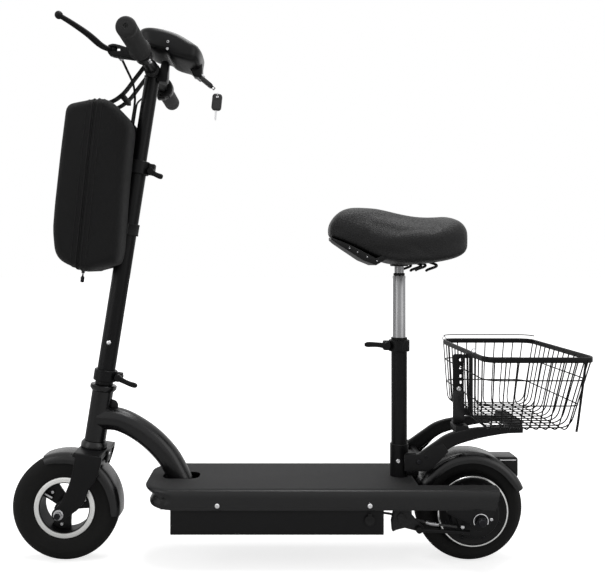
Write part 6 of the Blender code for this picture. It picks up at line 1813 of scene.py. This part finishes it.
# %% Basket bracket
strip_rear = bracket_x - 0.0205
strip = plate([(strip_rear, 0.2643), (bracket_x, 0.2643), (bracket_x, 0.3915), (bracket_x - 0.003, 0.3945),
              (strip_rear + 0.003, 0.3945), (strip_rear, 0.3915)], 0.028, 0.032, 0.0006)
holes = [placed(rod(0.0031, -0.01, 0.01, 0.0001, 32), moved(strip_rear + 0.006, 0.03, z) @ across_axle)
         for z in (0.3412, 0.353, 0.369, 0.3835)]
cut_away(strip, *holes)
inside_x = -0.3425 + shift_x
upright = block((inside_x - 0.007, 0.028, 0.278), (inside_x, 0.032, 0.3945), 0.0006)
links = [block((inside_x - 0.001, 0.0283, low), (strip_rear + 0.001, 0.0317, high), 0.0006) for low,
         high in mm((279, 292), (387, 394))]
foot = block((strip_rear + 0.001, 0.014, 0.2643), (bracket_x - 0.001, 0.029, 0.2678), 0.0006)
dress("bracket_strip", [strip, upright, *links, foot], "frame", "black_paint", black_coat, "basket_bracket")
lower_plate = plate(
    [(strip_rear - 0.0004, 0.2646), (bracket_x + 0.0004, 0.2646), (bracket_x + 0.0004, 0.326),
    (strip_rear - 0.0004, 0.326)], 0.0318, 0.0338, 0.0006)
dress("bracket_plate", lower_plate, "frame", "black_paint", deck_coat)
bolt = socket_bolt(0.0048, 0.0032, (-0.3225 + shift_x, 0.032, 0.329), (0, 1, 0), 0.45)
dress("bracket_bolt", bolt, "frame", "steel", bright_steel)


# %% [markdown]
# ## The wire basket
# The basket is bent from steel wire: U-shaped wires run down one wall, across the floor
# and up the other, in both directions, and two rings tie the walls together. They hang
# from a flat band that is the rim. A function bends one wire from its four corners, and
# loops space the wires evenly.

# %% Basket
basket_front = -0.335 + shift_x
basket_rear = -0.524 + shift_x
basket_half = 0.168
basket_top, basket_low = 0.4, 0.2732
front_draw, rear_draw, side_draw = 0.004, 0.0286, 0.026
wire_radius = 0.0012


def rounded_corner(before, corner, after, reach, steps=5):
    """Points that turn a corner, starting so far from it."""
    before, corner, after = Vector(before), Vector(corner), Vector(after)
    start = corner + (before - corner).normalized() * reach
    end = corner + (after - corner).normalized() * reach
    return [start * (1 - t) ** 2 + corner * 2 * t * (1 - t) + end * t ** 2 for t
            in (s / steps for s in range(steps + 1))]


def bent_wire(first, low_first, low_second, second, reach=0.02):
    return ([Vector(first)] + rounded_corner(first, low_first, low_second, reach)
            + rounded_corner(low_first, low_second, second, reach) + [Vector(second)])


def plan_at(height):
    """Front, rear and half width of the basket at a height."""
    drop = (basket_top - height) / (basket_top - basket_low)
    return basket_front - front_draw * drop, basket_rear + rear_draw * drop, basket_half - side_draw * drop


def ring_wire(height, corner):
    front, rear, half = plan_at(height)
    corners = [(front, half, height), (rear, half, height), (rear, -half, height), (front, -half, height)]
    loop = []
    for index, point in enumerate(corners):
        loop += rounded_corner(corners[index - 1], point, corners[(index + 1) % 4], corner, 6)
    return loop


low_front, low_rear, low_half = plan_at(basket_low)
routes = []
across_count, along_count = 9, 13
for index in range(across_count):
    share = (index + 0.75) / (across_count + 0.5)
    top_x = basket_front + (basket_rear - basket_front) * share
    low_x = low_front + (low_rear - low_front) * share
    routes.append(bent_wire((top_x, basket_half, basket_top), (low_x, low_half, basket_low),
                  (low_x, -low_half, basket_low), (top_x, -basket_half, basket_top)))
for index in range(along_count):
    share = ((index + 0.5) / along_count * 2 - 1) * 0.94
    routes.append(bent_wire(
        (basket_front, basket_half * share, basket_top), (low_front, low_half * share, basket_low + 0.0024),
        (low_rear, low_half * share, basket_low + 0.0024), (basket_rear, basket_half * share, basket_top)))
walls = wires(routes, wire_radius)
rings = [wires([ring_wire(height, corner)], wire_radius, cyclic=True) for height,
         corner in mm((364, 30), (319, 28))]
rim_route = ring_wire(basket_top, 0.03)
second = wires([[point + Vector((0, 0, 0.0125)) for point in rim_route[14:28]]], 0.0011)
post = wires([shifted(mm((-506, 166, 398.5), (-497.5, 152, 288), (-496, 150, 274.5)))], 0.0021)
dress("basket_wires", [walls, *rings, second, post], "frame", "black_paint", satin_coat, angle=60)

rim_middle = (basket_front + basket_rear) / 2
rim_rings = []
for point in rim_route + rim_route[:1]:
    outward = (point - Vector((rim_middle, 0, point.z))).normalized()
    rim_rings.append(
        [point + Vector((0, 0, z)) + outward * y for y, z in round_rectangle(0.004, 0.01, 0.0016, 3)])
band = lofted(rim_rings, closed=False)
dress("basket_rim", band, "frame", "black_paint", black_coat, "basket_left", "basket_right", "basket_front",
      "basket_rear", "basket_floor", angle=40)
eyes = [torus(0.0036, 0.001, 28, 10, (basket_front + 0.0006, y, basket_top + 0.008), (pi / 2, 0, 0)) for y
        in (-0.136, 0.093)]
dress("basket_eyes", eyes, "frame", "steel", zinc, angle=60)


# %% [markdown]
# ## Rear fender and lamp
# The rear fender is the same kind of channel as the front one, wider and longer, and a
# lamp stands on it behind the basket's supports: a black housing with a red cover.

# %% Rear fender and lamp
# The fender starts where a circle round the axle meets the deck's rear edge
fender_start = degrees(acos((deck_rear - 0.0003 - rear_axle.x) / 0.1115))
fender("rear_fender_shell", "frame", "rear_fender", rear_axle, 0.1075, 0.036, fender_start, 158,
       [(0, 0.019), (0.9, 0.019), (0.97, 0.017), (1, 0.015)], 0.014)
lamp_x = -0.4375 + shift_x
lamp = block((lamp_x, -0.024, 0.16), (lamp_x + 0.0575, 0.024, 0.198), 0.0045, 4)
under = placed(rod(0.1077, -0.1, 0.1, 0.0005, 96), rear_hub)
window = block((lamp_x - 0.001, -0.0205, 0.178), (lamp_x + 0.0025, 0.0205, 0.192))
dress("lamp_housing", cut_away(lamp, under, window), "frame", "black_plastic", housing_plastic,
      "tail_light")
cover = block((lamp_x + 0.0003, -0.0202, 0.1783), (lamp_x + 0.003, 0.0202, 0.1917), 0.001)
dress("lamp_cover", cover, "frame", "clear_plastic", lamp_red)
trim = block((lamp_x + 0.0045, 0.0234, 0.1922), (lamp_x + 0.0355, 0.0246, 0.194), 0.0004)
dress("lamp_trim", [trim, mirrored(trim)], "frame", "steel", bright_steel)


# %% [markdown]
# ## The hub motor
# The rear wheel's hub is the motor: a wide drum whose polished lip shows as a bright ring
# inside the tyre. Its left cover carries the brake drum, with small screws round it, and
# the axle's nuts hold it between the dropouts.

# %% Hub motor
flange = 0.067
lip = flange - 0.0022
edge = 0.042
turning = 0.0074
hub_inside = rear_bead - 0.004
cover_face = edge - 0.003
brake_radius = 0.045
brake_high = edge + 0.017
can = [(turning, -edge), (0.02, -edge), (0.022, -edge + 0.0016), (0.056, -edge + 0.0016), (
    0.058, -edge), (lip, -edge), (flange - 0.0006, -edge), (flange, -edge + 0.0008), (flange,
    -rim_seat), (rear_bead, -rim_seat), (rear_bead, rim_seat), (flange, rim_seat), (flange,
    edge - 0.0008), (flange - 0.0006, edge), (lip, edge), (lip, cover_face - 0.0003), (hub_inside,
    cover_face - 0.0003), (hub_inside, -cover_face), (turning, -cover_face)]
hub = turned(can, 96)
dress("hub_shell", hub, "rear_wheel", "black_paint", satin_coat, "hub_motor_shell", frame=rear_hub,
      angle=30)
ring_in, ring_out = 0.0634, 0.066
ring_points = [(ring_in, edge - 0.0008), (ring_out, edge - 0.0008), (
    ring_out, edge + 0.0002), (ring_out - 0.0006, edge + 0.0008), (ring_in, edge + 0.0008)]
rings = [turned([(r, side * y) for r, y in ring_points], 96) for side in (1, -1)]
dress("hub_ring", rings, "rear_wheel", "silver", ring_metal, frame=rear_hub, angle=30)
drum = brake_radius - 0.006
drum_top = brake_high - 0.008
plate_points = [(turning, cover_face), (lip - 0.0003, cover_face), (
    lip - 0.0003, edge - 0.0012), (0.061, edge - 0.0004), (0.059, edge - 0.0006), (0.057,
    edge - 0.0016), (0.05, edge - 0.0016), (0.047, edge + 0.0005), (drum, edge + 0.0005), (drum,
    drum_top), (drum - 0.003, drum_top), (drum - 0.003, edge + 0.002), (turning, edge + 0.002)]
hub_plate = turned(plate_points, 96)
dress("hub_plate", hub_plate, "rear_wheel", "black_paint", satin_coat, "hub_cover", frame=rear_hub,
      angle=30)
hub_screws = []
for index in range(8):
    angle = radians(22.5 + 45 * index)
    for circle, y, side in ((0.0535, edge - 0.0017, 1), (0.061, -edge + 0.0001, -1)):
        place = rear_axle + Vector((circle * cos(angle), y, circle * sin(angle)))
        hub_screws.append(socket_bolt(0.0026, 0.0014, place, (0, side, 0)))
dress("hub_screws", hub_screws, "rear_wheel", "steel", dark_steel)

# %% Rear brake
brake_low = edge + 0.0015
cover_points = [(
    0.0075, brake_high - 0.003), (brake_radius - 0.0022, brake_high - 0.003), (brake_radius - 0.0022,
    brake_low), (brake_radius - 0.0005, brake_low), (brake_radius, brake_low + 0.0005), (brake_radius,
    brake_high - 0.003), (0.0438, brake_high - 0.0008), (0.042, brake_high), (0.03, brake_high), (0.0285,
    brake_high - 0.001), (0.016, brake_high - 0.001), (0.0145, brake_high), (0.0075, brake_high)]
backplate = placed(turned(cover_points, 64), across_axle)
lug = placed(
    rod(0.008, brake_high - 0.001, brake_high + 0.003, 0.0006), moved(0.035, 0, 0.006) @ across_axle)
stay = placed(rod(0.0035, brake_high - 0.001, 0.0877, 0.0004), moved(-0.02, 0, 0.012) @ across_axle)
dress("brake_cover", [backplate, lug, stay], "frame", "black_paint", satin_coat, "brake_backplate",
      frame=moved(*rear_axle))
face = brake_high + 0.0033
arm_route = arc((0, 0), 0.007, 20, 200, 12) + arc((-0.009, -0.026), 0.0055, 200, 380, 12)
arm = plate(arm_route, face, face + 0.003, 0.0007)
arm_pin = placed(rod(0.003, brake_high - 0.0008, face + 0.0045), across_axle)
arm_place = moved(*rear_axle) @ moved(0.035, 0, 0.006)
dress("brake_arm_plate", [arm, arm_pin], "brake_arm", "black_paint", satin_coat, "brake_arm",
      frame=arm_place)
pinch = turned([(0, face + 0.0025), (0.0038, face + 0.0025), (0.0038, face + 0.0074),
               (0.0032, face + 0.008), (0, face + 0.008)], 6)
pinch_place = arm_place @ moved(-0.009, 0, -0.026) @ across_axle
dress("pinch_bolt", pinch, "brake_arm", "steel", bright_steel, frame=pinch_place)

# %% Rear axle
inner = 0.0877
outer = 0.0953
rear_core = [(0.0555, 0.017), (0.015, 0.019), (0.007, 0.028), (0.007, inner - 0.006), (
    0.011, inner - 0.006), (0.011, inner), (0.0068, inner), (0.0068, outer), (0, outer)]
core = turned(flipped(rear_core) + rear_core, 40)
nuts = both_ends(axle_end(0.0068, outer - 0.0001, 0.0165))
hook = plate(arc((0, 0), 0.0138, -30, 205, 24) + arc((0, 0), 0.0121, 205, -30, 20), -0.0008, 0.0008, 0.0003)
threads = both_ends(threaded_end(0.0066, outer - 0.002, outer + 0.0135))
dress("rear_threads", threads, "frame", "steel", dark_steel, frame=rear_hub, angle=30)
spot = socket_bolt(0.003, 0.0016, rear_axle + Vector((-0.019, outer - 0.0004, 0.003)), (0, 1, 0), 0.3)
dress("dropout_screw", spot, "frame", "steel", zinc)
dress("rear_axle_steel", [core, *nuts], "frame", "steel", dark_steel, "rear_axle", frame=rear_hub, angle=30)
dress("hook_washer", hook, "frame", "steel", bright_steel, frame=moved(*rear_axle)
      @ moved(0, outer + 0.0011, 0), angle=30)


# %% [markdown]
# ## The stand
# The folding leg is a steel rod with a flattened foot, on a pin through the bracket. In
# the photograph it is folded back and its rod runs level beside the tyre.

# %% Stand
stand_axis = pivot("kickstand_fold")
knuckle = placed(rod(0.0065, 0, 0.011, 0.0012), across_axle)
stand_pin = placed(rod(0.003, -0.015, 0.0014), across_axle)
leg_route = smooth_route(mm((0, 5.5, -1), (-20, 5.5, -1.8), (-64.4, 5.5, -4), (-92, 7.5, -5)), 20)
leg = swept(leg_route, [(0.0038 * cos(a), 0.0038 * sin(a)) for a in (2 * pi * s / 20 for s in range(20))])
dress("stand_leg", [knuckle, leg, stand_pin], "kickstand", "black_paint", satin_coat, "kickstand",
      frame=moved(*stand_axis), angle=45)


# %% [markdown]
# ## Studio
# The photograph was taken in a white tent: the backdrop is pure white, the floor keeps a
# thin soft shadow under the scooter, and black parts get their shape from a long strip of
# light overhead and two large ones beside the camera. The camera and reflections see the
# backdrop's full white, while it lights the scooter with less than a third of that. The
# floor's own white grows with the distance from the scooter, where the lamps no longer
# reach.

# %% Backdrop, floor and lights
world = bpy.data.worlds.new("studio")
bpy.context.scene.world = world
world.use_nodes = True
sky = world.node_tree
background = sky.nodes["Background"]
rays = sky.nodes.new("ShaderNodeLightPath")
shown = rays.outputs["Is Camera Ray"]
for kind in ("Is Transmission Ray", "Is Glossy Ray"):
    either = sky.nodes.new("ShaderNodeMath")
    either.operation = "MAXIMUM"
    sky.links.new(shown, either.inputs[0])
    sky.links.new(rays.outputs[kind], either.inputs[1])
    shown = either.outputs[0]
level = sky.nodes.new("ShaderNodeMix")
level.inputs["A"].default_value = 0.3
level.inputs["B"].default_value = 1.0
sky.links.new(shown, level.inputs["Factor"])
background.inputs["Color"].default_value = (1, 1, 1, 1)
sky.links.new(level.outputs["Result"], background.inputs["Strength"])

clear_selection()
bpy.ops.mesh.primitive_plane_add(size=60, location=(0, 0, -0.0002))
floor = bpy.context.object
floor.name = "studio_floor"
studio_white = Finish("studio_white", (0.8, 0.8, 0.8), 1.0, Specular_IOR_Level=0.0)
to_camera = studio_white.node("LightPath", {}, {}, "Is Camera Ray")
from_scooter = studio_white.node("VectorMath", {"operation": "LENGTH"}, {0: studio_white.place}, "Value")
far_off = studio_white.node("MapRange", {"interpolation_type": "SMOOTHSTEP"}, {
    "Value": from_scooter, "From Min": 0.55, "From Max": 1.5, "To Min": 0.74, "To Max": 1.1})
studio_white.shader.inputs["Emission Color"].default_value = (1, 1, 1, 1)
studio_white.feed("Emission Strength", to_camera * far_off)
floor.data.materials.append(studio_white.material)


def soft_light(name, place, target, size, power):
    clear_selection()
    bpy.ops.object.light_add(type="AREA", location=place)
    lamp = bpy.context.object
    lamp.name = name
    lamp.data.shape = "RECTANGLE"
    lamp.data.size, lamp.data.size_y = size
    lamp.data.energy = power
    lamp.rotation_euler = (Vector(target) - Vector(place)).to_track_quat("-Z", "Y").to_euler()
    return lamp


soft_light("top_softbox", (-0.1, 0.0, 2.3), (0, 0, 0.4), (2.0, 0.7), 30)
soft_light("left_softbox", (-1.9, 1.5, 1.3), (0, 0, 0.4), (1.4, 2.0), 11)
soft_light("right_softbox", (2.1, 1.5, 1.3), (0, 0, 0.4), (1.4, 2.0), 11)
